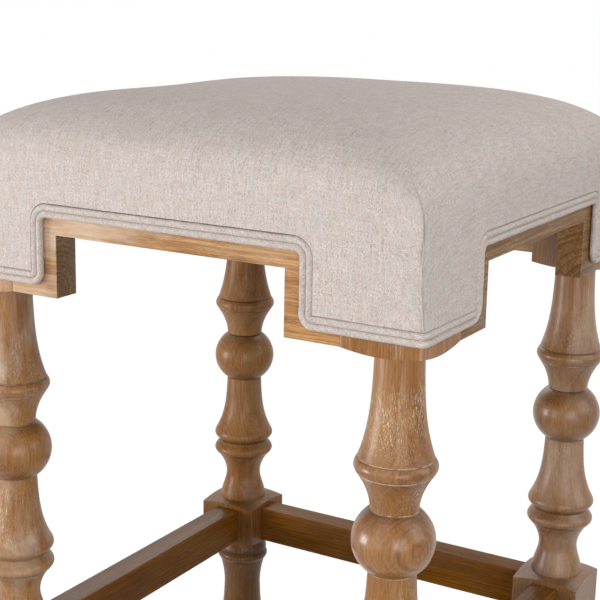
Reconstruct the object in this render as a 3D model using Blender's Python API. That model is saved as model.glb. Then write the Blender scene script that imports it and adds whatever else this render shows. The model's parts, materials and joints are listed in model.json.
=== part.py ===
"""Square counter stool: four turned legs, a box of stretchers, stepped aprons and a padded seat.

Metres, +Z up. The origin is on the floor under the middle of the seat, and the front faces -Y.
The stool is alike on its four sides. One corner (front right) and one side (front) are modelled,
and the others are the same meshes turned about the middle.
"""
import math
from collections import namedtuple

import bmesh
import bpy
from mathutils import Matrix, Vector

MM = 0.001

# Fits and tools
FIT_GAP = 0.3 * MM              # clearance between two pieces that meet
CUT_OVERRUN = 5 * MM            # how far a cutter runs past what it cuts

# Frame, over its outer wooden faces
FRAME_WIDTH = 430 * MM
LEG_BLANK = 64 * MM             # side of the square blank that a leg is turned from
EASED_EDGE = 1.2 * MM           # the hand-sanded chamfer on long wooden edges

# Aprons: boards with a drop at each end and a raised band between the drops
APRON_THICKNESS = 24 * MM
APRON_HEIGHT = 90 * MM
DROP_REACH = 46 * MM            # how far a drop reaches from the side of the leg
NOTCH_HEIGHT = 51 * MM          # height of the opening between two drops

# Stretchers
STRETCHER_HEIGHT = 34 * MM
STRETCHER_WIDTH = 26 * MM
STRETCHER_EDGE = 2.2 * MM       # chamfer that rounds the footrest's long edges
STRETCHER_BELOW_SHOULDER = 3.4 * MM   # from the block's upper corners down to the stretcher's top
TENON_LENGTH = 22 * MM
TENON_HEIGHT = 24 * MM
TENON_THICKNESS = 10 * MM

# Dowels that hold the aprons to the legs
DOWEL_DIAMETER = 8 * MM
DOWEL_LENGTH = 30 * MM
DOWEL_EDGE_DISTANCE = 18 * MM   # from the apron's top or bottom edge to a dowel's middle

# Leg turning, from the apron down to the floor. A radius is that of the lower end of its stretch,
# and a swell is how far a bead stands out from the straight line between its two ends.
NECK_RADIUS = 18.3 * MM
UPPER_SHAFT_HEIGHT = 77.7 * MM
UPPER_SHAFT_FOOT_RADIUS = 28.6 * MM
UPPER_RING_HEIGHT = 15.8 * MM
UPPER_RING_LOWER_RADIUS = 26.0 * MM
UPPER_RING_SWELL = 3.9 * MM
UPPER_COVE_HEIGHT = 24.0 * MM
BALL_HEIGHT = 48.8 * MM
BALL_RADIUS = 31.5 * MM
LOWER_SHAFT_HEIGHT = 59.7 * MM
LOWER_SHAFT_FOOT_RADIUS = 30.4 * MM
RIM_HEIGHT = 11.0 * MM
RIM_LOWER_RADIUS = 25.5 * MM
RIM_SWELL = 3.0 * MM
TWIN_RING_HEIGHT = 16.8 * MM
TWIN_RING_LOWER_RADIUS = 26.6 * MM
TWIN_RING_SWELL = 5.2 * MM
WAIST_COVE_HEIGHT = 21.2 * MM
WAIST_BELL_HEIGHT = 28.1 * MM
WAIST_BELL_RADIUS = 24.3 * MM
BLOCK_HEIGHT = 38.4 * MM        # the square stretcher block, between its corners
COLLAR_NECK_RADIUS = 23.6 * MM
COLLAR_NECK_HEIGHT = 11.3 * MM
COLLAR_RING_HEIGHT = 14.5 * MM
COLLAR_RING_LOWER_RADIUS = 24.4 * MM
COLLAR_RING_SWELL = 3.5 * MM
FOOT_COVE_HEIGHT = 29.0 * MM
FOOT_NECK_RADIUS = 19.9 * MM
FOOT_SHAFT_HEIGHT = 52.0 * MM
FOOT_SHAFT_RADIUS = 28.4 * MM
FOOT_RING_HEIGHT = 15.0 * MM
FOOT_RING_LOWER_RADIUS = 25.6 * MM
FOOT_RING_SWELL = 3.8 * MM
TOE_HEIGHT = 15.0 * MM
TOE_RADIUS = 20.0 * MM

# How the turned stretches curve. The counts are rings of faces in each stretch.
POMMEL_SLOPE_SHARE = 0.24       # fall of a square block's turned shoulder against its reach
CLEAR_OF_CORNERS_SHARE = 1.03   # turned radius that leaves a block square, against its corner
FLARE_STRAIGHT_SHARE = 0.18
FLARE_POWER = 3.3
COVE_POWER = 2.0
LEG_SEGMENTS = 20
FLARE_STEPS = 4
RING_STEPS = 4
RIM_STEPS = 3
COVE_STEPS = 3
BALL_STEPS = 8
BELL_STEPS = 3
PLAIN_STEPS = 1

# Glides: a disc with a nail that is driven up into the leg
GLIDE_RADIUS = 11 * MM
GLIDE_THICKNESS = 3 * MM
GLIDE_CHAMFER = 1 * MM
GLIDE_NAIL_RADIUS = 1.5 * MM
GLIDE_NAIL_LENGTH = 12 * MM

# Corner blocks and their screws
CORNER_BLOCK_WIDTH = 36 * MM
CORNER_BLOCK_HEIGHT = 28 * MM
SCREW_HEAD_RADIUS = 4.2 * MM
SCREW_HEAD_HEIGHT = 3.2 * MM
SCREW_SHANK_RADIUS = 2.1 * MM
SCREW_TIP_LENGTH = 6 * MM
SCREW_BITE_IN_LEG = 18 * MM     # how far a leg screw runs into the leg's corner
SCREW_BITE_IN_BOARD = 9 * MM
SEAT_SCREW_SPREAD = 40 * MM     # from the middle of a corner block to each seat screw

# Seat
BOARD_THICKNESS = 12 * MM
BOARD_INSET = 1 * MM            # how far the board stays inside the frame's outer faces
BOARD_CORNER = 6 * MM           # cut off the board's corners, to make room for the folds
COVER_THICKNESS = 4.2 * MM      # the fabric with its wadding
SHOULDER_HEIGHT = 100 * MM      # from the drops' lower edge to where the crown begins
CROWN_HEIGHT = 161.7 * MM       # from the drops' lower edge to the top of the crown
SEAT_CORNER_RADIUS = 6 * MM
CROWN_POWER = 3.7
CROWN_ROUNDING_POWER = 0.32
SEAT_DIVISIONS = 18
DUST_COVER_THICKNESS = 1 * MM

# Double welt: two cords side by side along the lower edge of the cover
WELT_CORD_DIAMETER = 5.5 * MM
WELT_VALLEY_DEPTH = 1.7 * MM    # how deep the seam lies between the two cords
DROP_MARGIN = 9.5 * MM          # wood left bare under the welt on a drop
SIDE_MARGIN = 14.5 * MM         # wood left bare beside the welt on a drop
BAND_MARGIN = 14.0 * MM         # wood left bare under the welt on the band
WELT_UPPER_BEND = 10 * MM       # bend of the welt's middle line below the band's ends
WELT_LOWER_BEND = 6 * MM        # bend of the welt's middle line at a drop's lower corner
BEND_STEPS = 4
CORNER_STEPS = 3
CORD_DEGREES = (-45, 0, 45, 90, 135)

SMALL_SEGMENTS = 8
GLIDE_SEGMENTS = 12
SMOOTH_ANGLE = math.radians(35)

# Sizes that follow from the others
HALF_FRAME = FRAME_WIDTH / 2
HALF_SPAN = HALF_FRAME - LEG_BLANK            # from the middle to a leg's inner face
LEG_OFFSET = HALF_FRAME - LEG_BLANK / 2       # from the middle to a leg's axis
APRON_INNER = HALF_FRAME - APRON_THICKNESS    # from the middle to an apron's inner face
APRON_MIDDLE = HALF_FRAME - APRON_THICKNESS / 2
HALF_NOTCH = HALF_SPAN - DROP_REACH
HALF_BLANK = LEG_BLANK / 2
CORNER_RADIUS = HALF_BLANK * math.sqrt(2)
CLEAR_RADIUS = CORNER_RADIUS * CLEAR_OF_CORNERS_SHARE
UPPER_POMMEL_HEIGHT = POMMEL_SLOPE_SHARE * (CORNER_RADIUS - NECK_RADIUS)
BLOCK_TOP_POMMEL_HEIGHT = POMMEL_SLOPE_SHARE * (CORNER_RADIUS - WAIST_BELL_RADIUS)
BLOCK_FOOT_POMMEL_HEIGHT = POMMEL_SLOPE_SHARE * (CORNER_RADIUS - COLLAR_NECK_RADIUS)
POMMEL_CLEARANCE = POMMEL_SLOPE_SHARE * (CLEAR_RADIUS - CORNER_RADIUS)

Stretch = namedtuple("Stretch", "form height radius swell steps")
UPPER_TURNING = (
    Stretch("flare", UPPER_SHAFT_HEIGHT, UPPER_SHAFT_FOOT_RADIUS, 0, FLARE_STEPS),
    Stretch("bead", UPPER_RING_HEIGHT, UPPER_RING_LOWER_RADIUS, UPPER_RING_SWELL, RING_STEPS),
    Stretch("cove", UPPER_COVE_HEIGHT, NECK_RADIUS, 0, COVE_STEPS),
    Stretch("ball", BALL_HEIGHT, NECK_RADIUS, BALL_RADIUS, BALL_STEPS),
    Stretch("flare", LOWER_SHAFT_HEIGHT, LOWER_SHAFT_FOOT_RADIUS, 0, FLARE_STEPS),
    Stretch("bead", RIM_HEIGHT, RIM_LOWER_RADIUS, RIM_SWELL, RIM_STEPS),
    Stretch("bead", TWIN_RING_HEIGHT, TWIN_RING_LOWER_RADIUS, TWIN_RING_SWELL, RING_STEPS),
    Stretch("cove", WAIST_COVE_HEIGHT, NECK_RADIUS, 0, COVE_STEPS),
    Stretch("bell", WAIST_BELL_HEIGHT, WAIST_BELL_RADIUS, 0, BELL_STEPS),
)
LOWER_TURNING = (
    Stretch("bell", COLLAR_NECK_HEIGHT, COLLAR_NECK_RADIUS, 0, PLAIN_STEPS),
    Stretch("bead", COLLAR_RING_HEIGHT, COLLAR_RING_LOWER_RADIUS, COLLAR_RING_SWELL, RING_STEPS),
    Stretch("cove", FOOT_COVE_HEIGHT, FOOT_NECK_RADIUS, 0, COVE_STEPS),
    Stretch("flare", FOOT_SHAFT_HEIGHT, FOOT_SHAFT_RADIUS, 0, FLARE_STEPS),
    Stretch("bead", FOOT_RING_HEIGHT, FOOT_RING_LOWER_RADIUS, FOOT_RING_SWELL, RING_STEPS),
    Stretch("cove", TOE_HEIGHT, TOE_RADIUS, 0, COVE_STEPS),
)

LEG_BOTTOM = GLIDE_THICKNESS + FIT_GAP
BLOCK_FOOT = (LEG_BOTTOM + sum(stretch.height for stretch in LOWER_TURNING)
              + BLOCK_FOOT_POMMEL_HEIGHT)
BLOCK_TOP = BLOCK_FOOT + BLOCK_HEIGHT
APRON_BOTTOM = (BLOCK_TOP + BLOCK_TOP_POMMEL_HEIGHT
                + sum(stretch.height for stretch in UPPER_TURNING) + UPPER_POMMEL_HEIGHT)
APRON_TOP = APRON_BOTTOM + APRON_HEIGHT
STRETCHER_TOP = BLOCK_TOP - STRETCHER_BELOW_SHOULDER
STRETCHER_MIDDLE = STRETCHER_TOP - STRETCHER_HEIGHT / 2
DOWEL_HEIGHTS = (APRON_BOTTOM + DOWEL_EDGE_DISTANCE, APRON_TOP - DOWEL_EDGE_DISTANCE)

BLOCK_OUTER = 2 * HALF_SPAN - 2 * FIT_GAP     # x + y of a corner block's long outer side
BLOCK_INNER = BLOCK_OUTER - CORNER_BLOCK_WIDTH * math.sqrt(2)
BLOCK_BOTTOM = APRON_TOP - CORNER_BLOCK_HEIGHT
LEG_SCREW_LEVEL = BLOCK_BOTTOM + CORNER_BLOCK_HEIGHT / 2

BOARD_BOTTOM = APRON_TOP + FIT_GAP
BOARD_TOP = BOARD_BOTTOM + BOARD_THICKNESS
COVER_INNER = HALF_FRAME + FIT_GAP
COVER_OUTER = COVER_INNER + COVER_THICKNESS
SHOULDER = APRON_BOTTOM + SHOULDER_HEIGHT
CROWN = APRON_BOTTOM + CROWN_HEIGHT

WELT_DROP_LEVEL = APRON_BOTTOM + DROP_MARGIN + WELT_CORD_DIAMETER
WELT_BAND_LEVEL = APRON_BOTTOM + NOTCH_HEIGHT + BAND_MARGIN + WELT_CORD_DIAMETER
WELT_SIDE = HALF_NOTCH + SIDE_MARGIN + WELT_CORD_DIAMETER
WELT_TO_COVER = WELT_CORD_DIAMETER + FIT_GAP  # from the welt's middle line to the cover's edge
COVER_BOTTOM = WELT_DROP_LEVEL + WELT_TO_COVER

CORNERS = ("front_right", "back_right", "back_left", "front_left")
SIDES = ("front", "right", "back", "left")

WOOD = ("wood", (0.43, 0.24, 0.12), 0.5, 0.0)
PLYWOOD = ("plywood", (0.62, 0.46, 0.30), 0.7, 0.0)
FABRIC = ("fabric", (0.66, 0.58, 0.52), 0.9, 0.0)
FOAM = ("foam", (0.80, 0.76, 0.62), 0.95, 0.0)
CAMBRIC = ("cambric", (0.03, 0.03, 0.03), 0.95, 0.0)
STEEL = ("steel", (0.55, 0.55, 0.55), 0.35, 1.0)
NYLON = ("nylon", (0.16, 0.12, 0.09), 0.5, 0.0)


def clear_scene():
    """Removes every object that the scene starts with."""
    for item in list(bpy.data.objects):
        bpy.data.objects.remove(item)


def add_object(name, mesh, finish, parent=None):
    """Links a mesh to the scene as an object with a material of its own."""
    label, colour, roughness, metallic = finish
    material = bpy.data.materials.new(name + "_" + label)
    material.use_nodes = True
    shader = material.node_tree.nodes["Principled BSDF"]
    shader.inputs["Base Color"].default_value = (*colour, 1)
    shader.inputs["Roughness"].default_value = roughness
    shader.inputs["Metallic"].default_value = metallic
    item = bpy.data.objects.new(name, mesh)
    bpy.context.scene.collection.objects.link(item)
    item.data.materials.append(material)
    item.parent = parent
    return item


def add_cutter(name, mesh):
    """Links a mesh that only cuts or trims other pieces."""
    item = bpy.data.objects.new(name, mesh)
    bpy.context.scene.collection.objects.link(item)
    item.display_type = "WIRE"
    item.hide_render = True
    return item


def to_mesh(name, shape):
    """Turns a bmesh into a mesh with its faces pointing out, smooth over gentle angles."""
    bmesh.ops.recalc_face_normals(shape, faces=shape.faces)
    mesh = bpy.data.meshes.new(name)
    shape.to_mesh(mesh)
    shape.free()
    mesh.shade_smooth()
    mesh.set_sharp_from_angle(angle=SMOOTH_ANGLE)
    return mesh


def joined(name, shapes):
    """Puts separate closed shapes into one mesh, for a cutter."""
    whole = bmesh.new()
    for shape in shapes:
        piece = to_mesh(name, shape)
        whole.from_mesh(piece)
        bpy.data.meshes.remove(piece)
    return to_mesh(name, whole)


def combined(name, mesh, operations):
    """Gives the mesh that is left of one mesh after Boolean operations with others."""
    item = add_cutter(name + "_blank", mesh)
    tools = []
    for operation, tool_mesh in operations:
        tool = add_cutter(name + "_tool", tool_mesh)
        modifier = item.modifiers.new(operation.title(), "BOOLEAN")
        modifier.operation = operation
        modifier.object = tool
        tools.append(tool)
    graph = bpy.context.evaluated_depsgraph_get()
    result = bpy.data.meshes.new_from_object(item.evaluated_get(graph))
    for helper in tools + [item]:
        bpy.data.objects.remove(helper)
    result.name = name
    result.shade_smooth()
    result.set_sharp_from_angle(angle=SMOOTH_ANGLE)
    return result


def prism(points, low, high, axes="XYZ"):
    """Extrudes a flat outline. The first two axes hold the outline and the third one the depth."""
    shape = bmesh.new()
    order = ["XYZ".index(axis) for axis in axes]
    rings = []
    for depth in (low, high):
        ring = []
        for first, second in points:
            place = Vector((0, 0, 0))
            place[order[0]], place[order[1]], place[order[2]] = first, second, depth
            ring.append(shape.verts.new(place))
        rings.append(ring)
    for ring in rings:
        shape.faces.new(ring)
    for index in range(len(points)):
        following = (index + 1) % len(points)
        shape.faces.new((rings[0][index], rings[0][following],
                         rings[1][following], rings[1][index]))
    return shape


def rectangle(half_width, half_height, chamfer=0):
    """Gives the outline of a rectangle about the middle, with its corners cut by a chamfer."""
    if not chamfer:
        return [(-half_width, -half_height), (half_width, -half_height),
                (half_width, half_height), (-half_width, half_height)]
    outline = []
    for across, up in ((-1, -1), (1, -1), (1, 1), (-1, 1)):
        beside = (across * half_width, up * (half_height - chamfer))
        above = (across * (half_width - chamfer), up * half_height)
        outline += [beside, above] if across * up > 0 else [above, beside]
    return outline


def turned(profile, segments):
    """Revolves (radius, height) points, top to bottom, about the Z axis."""
    shape = bmesh.new()
    rings = []
    for radius, height in profile:
        if radius == 0:
            rings.append([shape.verts.new((0, 0, height))])
            continue
        ring = []
        for index in range(segments):
            angle = 2 * math.pi * index / segments
            ring.append(shape.verts.new((radius * math.cos(angle), radius * math.sin(angle),
                                         height)))
        rings.append(ring)
    for upper, lower in zip(rings, rings[1:]):
        for index in range(segments):
            following = (index + 1) % segments
            if len(upper) == 1:
                shape.faces.new((upper[0], lower[index], lower[following]))
            elif len(lower) == 1:
                shape.faces.new((upper[index], lower[0], upper[following]))
            else:
                shape.faces.new((upper[index], lower[index], lower[following],
                                 upper[following]))
    for ring in (rings[0], rings[-1]):
        if len(ring) > 1:
            shape.faces.new(ring)
    return shape


def rod(radius, start, end, segments=SMALL_SEGMENTS):
    """Makes a plain round rod between two points."""
    direction = end - start
    shape = turned([(radius, direction.length), (radius, 0)], segments)
    turn = direction.to_track_quat("Z", "Y").to_matrix().to_4x4()
    bmesh.ops.transform(shape, matrix=Matrix.Translation(start) @ turn, verts=shape.verts)
    return shape


def stretch_points(stretch, start_radius, top):
    """Gives the (radius, height) points of one turned stretch below its top."""
    points = []
    for step in range(1, stretch.steps + 1):
        share = step / stretch.steps
        radius = start_radius + (stretch.radius - start_radius) * share
        if stretch.form == "flare":
            rise = FLARE_STRAIGHT_SHARE * share + (1 - FLARE_STRAIGHT_SHARE) * share ** FLARE_POWER
            radius = start_radius + (stretch.radius - start_radius) * rise
        elif stretch.form == "cove":
            rise = 1 - (1 - share) ** COVE_POWER
            radius = start_radius + (stretch.radius - start_radius) * rise
        elif stretch.form == "bell":
            rise = share * share * (3 - 2 * share)
            radius = start_radius + (stretch.radius - start_radius) * rise
        elif stretch.form == "bead":
            radius += stretch.swell * math.sin(math.pi * share)
        elif stretch.form == "ball":
            # The rings stand at even angles of the ellipse that passes through both necks.
            reach = math.acos(stretch.radius / stretch.swell)
            angle = reach * (1 - 2 * share)
            share = (1 - math.sin(angle) / math.sin(reach)) / 2
            radius = stretch.swell * math.cos(angle)
        points.append((radius, top - stretch.height * share))
    return points


def turning_points(turning, start_radius, top):
    """Gives the points of a run of turned stretches, one below the other."""
    points = []
    radius, level = start_radius, top
    for stretch in turning:
        points += stretch_points(stretch, radius, level)
        radius, level = stretch.radius, level - stretch.height
    return points


def leg_profile():
    """Gives a leg's turned profile, wide where the blank stays square."""
    profile = [(CLEAR_RADIUS, APRON_TOP), (CLEAR_RADIUS, APRON_BOTTOM + POMMEL_CLEARANCE)]
    neck_level = APRON_BOTTOM - UPPER_POMMEL_HEIGHT
    profile.append((NECK_RADIUS, neck_level))
    profile += turning_points(UPPER_TURNING, NECK_RADIUS, neck_level)
    profile.append((CLEAR_RADIUS, BLOCK_TOP - POMMEL_CLEARANCE))
    profile.append((CLEAR_RADIUS, BLOCK_FOOT + POMMEL_CLEARANCE))
    collar_level = BLOCK_FOOT - BLOCK_FOOT_POMMEL_HEIGHT
    profile.append((COLLAR_NECK_RADIUS, collar_level))
    profile += turning_points(LOWER_TURNING, COLLAR_NECK_RADIUS, collar_level)
    return profile


def leg_cutters():
    """Gives the mortises, dowel holes, screw hole and nail hole of the front right leg.

    The leg's axis is the Z axis here. The front apron and stretcher come in at -X, and the right
    ones at +Y.
    """
    cutters = []
    half_height = TENON_HEIGHT / 2 + FIT_GAP
    half_thickness = TENON_THICKNESS / 2 + FIT_GAP
    depth = -HALF_BLANK + TENON_LENGTH + FIT_GAP
    mouth = -HALF_BLANK - CUT_OVERRUN
    mortise = [(-half_thickness, STRETCHER_MIDDLE - half_height),
               (half_thickness, STRETCHER_MIDDLE - half_height),
               (half_thickness, STRETCHER_MIDDLE + half_height),
               (-half_thickness, STRETCHER_MIDDLE + half_height)]
    cutters.append(prism(mortise, mouth, depth, "YZX"))
    cutters.append(prism(mortise, -depth, -mouth, "XZY"))
    hole_radius = DOWEL_DIAMETER / 2 + FIT_GAP
    bottom = -HALF_BLANK + DOWEL_LENGTH / 2 + FIT_GAP
    beside = APRON_MIDDLE - LEG_OFFSET
    for level in DOWEL_HEIGHTS:
        cutters.append(rod(hole_radius, Vector((mouth, -beside, level)),
                           Vector((bottom, -beside, level))))
        cutters.append(rod(hole_radius, Vector((beside, -mouth, level)),
                           Vector((beside, -bottom, level))))
    outward = Vector((1, -1, 0)).normalized()
    corner = Vector((-HALF_BLANK, HALF_BLANK, LEG_SCREW_LEVEL))
    cutters.append(rod(SCREW_SHANK_RADIUS + FIT_GAP, corner - outward * CUT_OVERRUN,
                       corner + outward * (SCREW_BITE_IN_LEG + FIT_GAP)))
    foot = Vector((0, 0, LEG_BOTTOM))
    upward = Vector((0, 0, 1))
    cutters.append(rod(GLIDE_NAIL_RADIUS + FIT_GAP, foot - upward * CUT_OVERRUN,
                       foot + upward * (GLIDE_NAIL_LENGTH + FIT_GAP)))
    return joined("leg_cutters", cutters)


def make_leg():
    """Turns a leg from its square blank, then cuts its mortises and holes."""
    turning = to_mesh("leg_turning", turned(leg_profile(), LEG_SEGMENTS))
    outline = rectangle(HALF_BLANK, HALF_BLANK, EASED_EDGE)
    blank = to_mesh("leg_square", prism(outline, LEG_BOTTOM - CUT_OVERRUN,
                                        APRON_TOP + CUT_OVERRUN))
    return combined("leg", turning, [("INTERSECT", blank), ("DIFFERENCE", leg_cutters())])


def make_apron():
    """Cuts the front apron's stepped outline and bores its ends for the dowels."""
    end = HALF_SPAN - FIT_GAP
    outline = [(-end, APRON_BOTTOM), (-HALF_NOTCH, APRON_BOTTOM),
               (-HALF_NOTCH, APRON_BOTTOM + NOTCH_HEIGHT),
               (HALF_NOTCH, APRON_BOTTOM + NOTCH_HEIGHT), (HALF_NOTCH, APRON_BOTTOM),
               (end, APRON_BOTTOM), (end, APRON_TOP), (-end, APRON_TOP)]
    board = prism(outline, -HALF_FRAME, -APRON_INNER, "XZY")
    long_edges = [edge for edge in board.edges
                  if abs(edge.verts[0].co.y - edge.verts[1].co.y) < FIT_GAP
                  and max(edge.verts[0].co.z, edge.verts[1].co.z) < APRON_TOP - FIT_GAP
                  and abs(edge.verts[0].co.x + edge.verts[1].co.x) < 2 * (end - FIT_GAP)]
    bmesh.ops.bevel(board, geom=long_edges, offset=EASED_EDGE, segments=1, affect="EDGES",
                    clamp_overlap=True)
    holes = []
    for side in (-1, 1):
        mouth = end + CUT_OVERRUN
        bottom = HALF_SPAN - DOWEL_LENGTH / 2 - FIT_GAP
        for level in DOWEL_HEIGHTS:
            holes.append(rod(DOWEL_DIAMETER / 2 + FIT_GAP,
                             Vector((side * mouth, -APRON_MIDDLE, level)),
                             Vector((side * bottom, -APRON_MIDDLE, level))))
    return combined("apron", to_mesh("apron_board", board),
                    [("DIFFERENCE", joined("apron_holes", holes))])


def make_stretcher():
    """Makes the front stretcher with a tenon at each end."""
    end = HALF_SPAN - FIT_GAP
    outline = rectangle(STRETCHER_WIDTH / 2, STRETCHER_HEIGHT / 2, STRETCHER_EDGE)
    bar = to_mesh("stretcher_bar", prism(outline, -end, end, "YZX"))
    reach = HALF_SPAN + TENON_LENGTH
    tongue = rectangle(TENON_THICKNESS / 2, TENON_HEIGHT / 2)
    tenons = to_mesh("stretcher_tenons", prism(tongue, -reach, reach, "YZX"))
    return combined("stretcher", bar, [("UNION", tenons)])


def make_dowel():
    """Makes one dowel along X."""
    half = DOWEL_LENGTH / 2
    return to_mesh("dowel", rod(DOWEL_DIAMETER / 2, Vector((-half, 0, 0)), Vector((half, 0, 0))))


def screw_profile(length):
    """Gives a countersunk screw's profile, its head on top and its tip below."""
    return [(SCREW_HEAD_RADIUS, 0), (SCREW_SHANK_RADIUS, -SCREW_HEAD_HEIGHT),
            (SCREW_SHANK_RADIUS, SCREW_TIP_LENGTH - length), (0, -length)]


def screw_hole(length, top, direction):
    """Makes the cutter for a screw whose head lies flush at top and whose tip points along it."""
    profile = [(SCREW_HEAD_RADIUS + FIT_GAP, CUT_OVERRUN), (SCREW_HEAD_RADIUS + FIT_GAP, 0),
               (SCREW_SHANK_RADIUS + FIT_GAP, -SCREW_HEAD_HEIGHT),
               (SCREW_SHANK_RADIUS + FIT_GAP, -length - FIT_GAP)]
    shape = turned(profile, SMALL_SEGMENTS)
    turn = (-direction).to_track_quat("Z", "Y").to_matrix().to_4x4()
    bmesh.ops.transform(shape, matrix=Matrix.Translation(top) @ turn, verts=shape.verts)
    return shape


def make_screw(name, length):
    """Makes a screw of a length."""
    return to_mesh(name, turned(screw_profile(length), SMALL_SEGMENTS))


def leg_screw_place():
    """Gives where the front right leg screw's head lies, its direction and its length."""
    direction = Vector((1, -1, 0)).normalized()
    head = Vector((BLOCK_INNER / 2, -BLOCK_INNER / 2, LEG_SCREW_LEVEL))
    corner = Vector((HALF_SPAN, -HALF_SPAN, LEG_SCREW_LEVEL))
    return head, direction, (corner - head).length + SCREW_BITE_IN_LEG


def seat_screw_places():
    """Gives where the two seat screws' heads lie in the front right corner block."""
    middle = (BLOCK_INNER + BLOCK_OUTER) / 4
    aside = SEAT_SCREW_SPREAD / math.sqrt(2)
    return [Vector((middle + side * aside, -middle + side * aside, BLOCK_BOTTOM))
            for side in (-1, 1)]


def seat_screw_length():
    """Gives a seat screw's length, through the corner block and into the board."""
    return BOARD_BOTTOM - BLOCK_BOTTOM + SCREW_BITE_IN_BOARD


def make_corner_block():
    """Makes the front right corner block, bored for its three screws."""
    inside = APRON_INNER - FIT_GAP
    outline = [(inside, inside - BLOCK_OUTER), (inside, inside - BLOCK_INNER),
               (BLOCK_INNER - inside, -inside), (BLOCK_OUTER - inside, -inside)]
    block = to_mesh("corner_block_blank", prism(outline, BLOCK_BOTTOM, APRON_TOP))
    head, direction, length = leg_screw_place()
    holes = [screw_hole(length, head, direction)]
    for place in seat_screw_places():
        holes.append(screw_hole(seat_screw_length() + CUT_OVERRUN, place, Vector((0, 0, 1))))
    return combined("corner_block", block, [("DIFFERENCE", joined("block_holes", holes))])


def make_glide():
    """Makes a glide: a flat disc on the floor with a nail up into the leg."""
    nail_tip = GLIDE_THICKNESS + GLIDE_NAIL_LENGTH
    profile = [(GLIDE_NAIL_RADIUS, nail_tip), (GLIDE_NAIL_RADIUS, GLIDE_THICKNESS),
               (GLIDE_RADIUS, GLIDE_THICKNESS), (GLIDE_RADIUS, GLIDE_CHAMFER),
               (GLIDE_RADIUS - GLIDE_CHAMFER, 0)]
    return to_mesh("glide", turned(profile, GLIDE_SEGMENTS))


def make_seat_board():
    """Makes the plywood seat board with a pilot hole for each seat screw."""
    half = HALF_FRAME - BOARD_INSET
    outline = rectangle(half, half, BOARD_CORNER)
    board = to_mesh("board_blank", prism(outline, BOARD_BOTTOM, BOARD_TOP))
    holes = []
    for quarter in range(len(CORNERS)):
        turn = Matrix.Rotation(quarter * math.pi / 2, 3, "Z")
        for place in seat_screw_places():
            foot = turn @ place
            foot.z = BOARD_BOTTOM - CUT_OVERRUN
            top = foot.copy()
            top.z = BOARD_BOTTOM + SCREW_BITE_IN_BOARD + FIT_GAP
            holes.append(rod(SCREW_SHANK_RADIUS + FIT_GAP, foot, top))
    return combined("seat_board", board, [("DIFFERENCE", joined("board_holes", holes))])


def rounded_corner(x, y, half, radius):
    """Moves a point of a square's corner onto quarter circles about the corner's centre."""
    inner = half - radius
    beyond_x, beyond_y = abs(x) - inner, abs(y) - inner
    if radius == 0 or beyond_x <= 0 or beyond_y <= 0:
        return x, y
    scale = max(beyond_x, beyond_y) / math.hypot(beyond_x, beyond_y)
    return (math.copysign(inner + beyond_x * scale, x),
            math.copysign(inner + beyond_y * scale, y))


def crowned_block(half, base, shoulder, crown, corner_radius=0):
    """Makes a square block whose top swells from its shoulder to a rounded crown."""
    shape = bmesh.new()
    count = SEAT_DIVISIONS + 1
    shares = [math.sin(math.pi / 2 * (2 * index / SEAT_DIVISIONS - 1)) for index in range(count)]
    grid = []
    for across in shares:
        row = []
        for along in shares:
            fall = (1 - abs(across) ** CROWN_POWER) * (1 - abs(along) ** CROWN_POWER)
            x, y = rounded_corner(across * half, along * half, half, corner_radius)
            level = shoulder + (crown - shoulder) * max(fall, 0) ** CROWN_ROUNDING_POWER
            row.append(shape.verts.new((x, y, level)))
        grid.append(row)
    last = SEAT_DIVISIONS
    for i in range(last):
        for j in range(last):
            cell = [grid[i][j], grid[i + 1][j], grid[i + 1][j + 1], grid[i][j + 1]]
            if (2 * i < last) != (2 * j < last):
                cell = cell[1:] + cell[:1]
            # Each cell folds along its diagonal that runs out to the seat's corner.
            shape.faces.new((cell[0], cell[1], cell[2]))
            shape.faces.new((cell[0], cell[2], cell[3]))
    rim = [grid[i][0] for i in range(last)] + [grid[last][j] for j in range(last)]
    rim += [grid[i][last] for i in range(last, 0, -1)] + [grid[0][j] for j in range(last, 0, -1)]
    foot = [shape.verts.new((vert.co.x, vert.co.y, base)) for vert in rim]
    for index in range(len(rim)):
        following = (index + 1) % len(rim)
        shape.faces.new((rim[index], rim[following], foot[following], foot[index]))
    shape.faces.new(foot)
    return shape


def make_foam():
    """Makes the foam pad, which fills the cover above the board."""
    crown = CROWN - COVER_THICKNESS - FIT_GAP
    pad = crowned_block(COVER_INNER - FIT_GAP, BOARD_BOTTOM, SHOULDER - FIT_GAP, crown)
    below = prism(rectangle(COVER_OUTER, COVER_OUTER), BOARD_BOTTOM - CUT_OVERRUN,
                  BOARD_TOP + FIT_GAP)
    return combined("foam", to_mesh("foam_block", pad),
                    [("DIFFERENCE", to_mesh("foam_below", below))])


def arc_points(centre, radius, start, end, steps):
    """Gives points on an arc, both ends included, for angles in degrees."""
    points = []
    for step in range(steps + 1):
        angle = math.radians(start + (end - start) * step / steps)
        points.append((centre[0] + radius * math.cos(angle), centre[1] + radius * math.sin(angle)))
    return points


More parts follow.
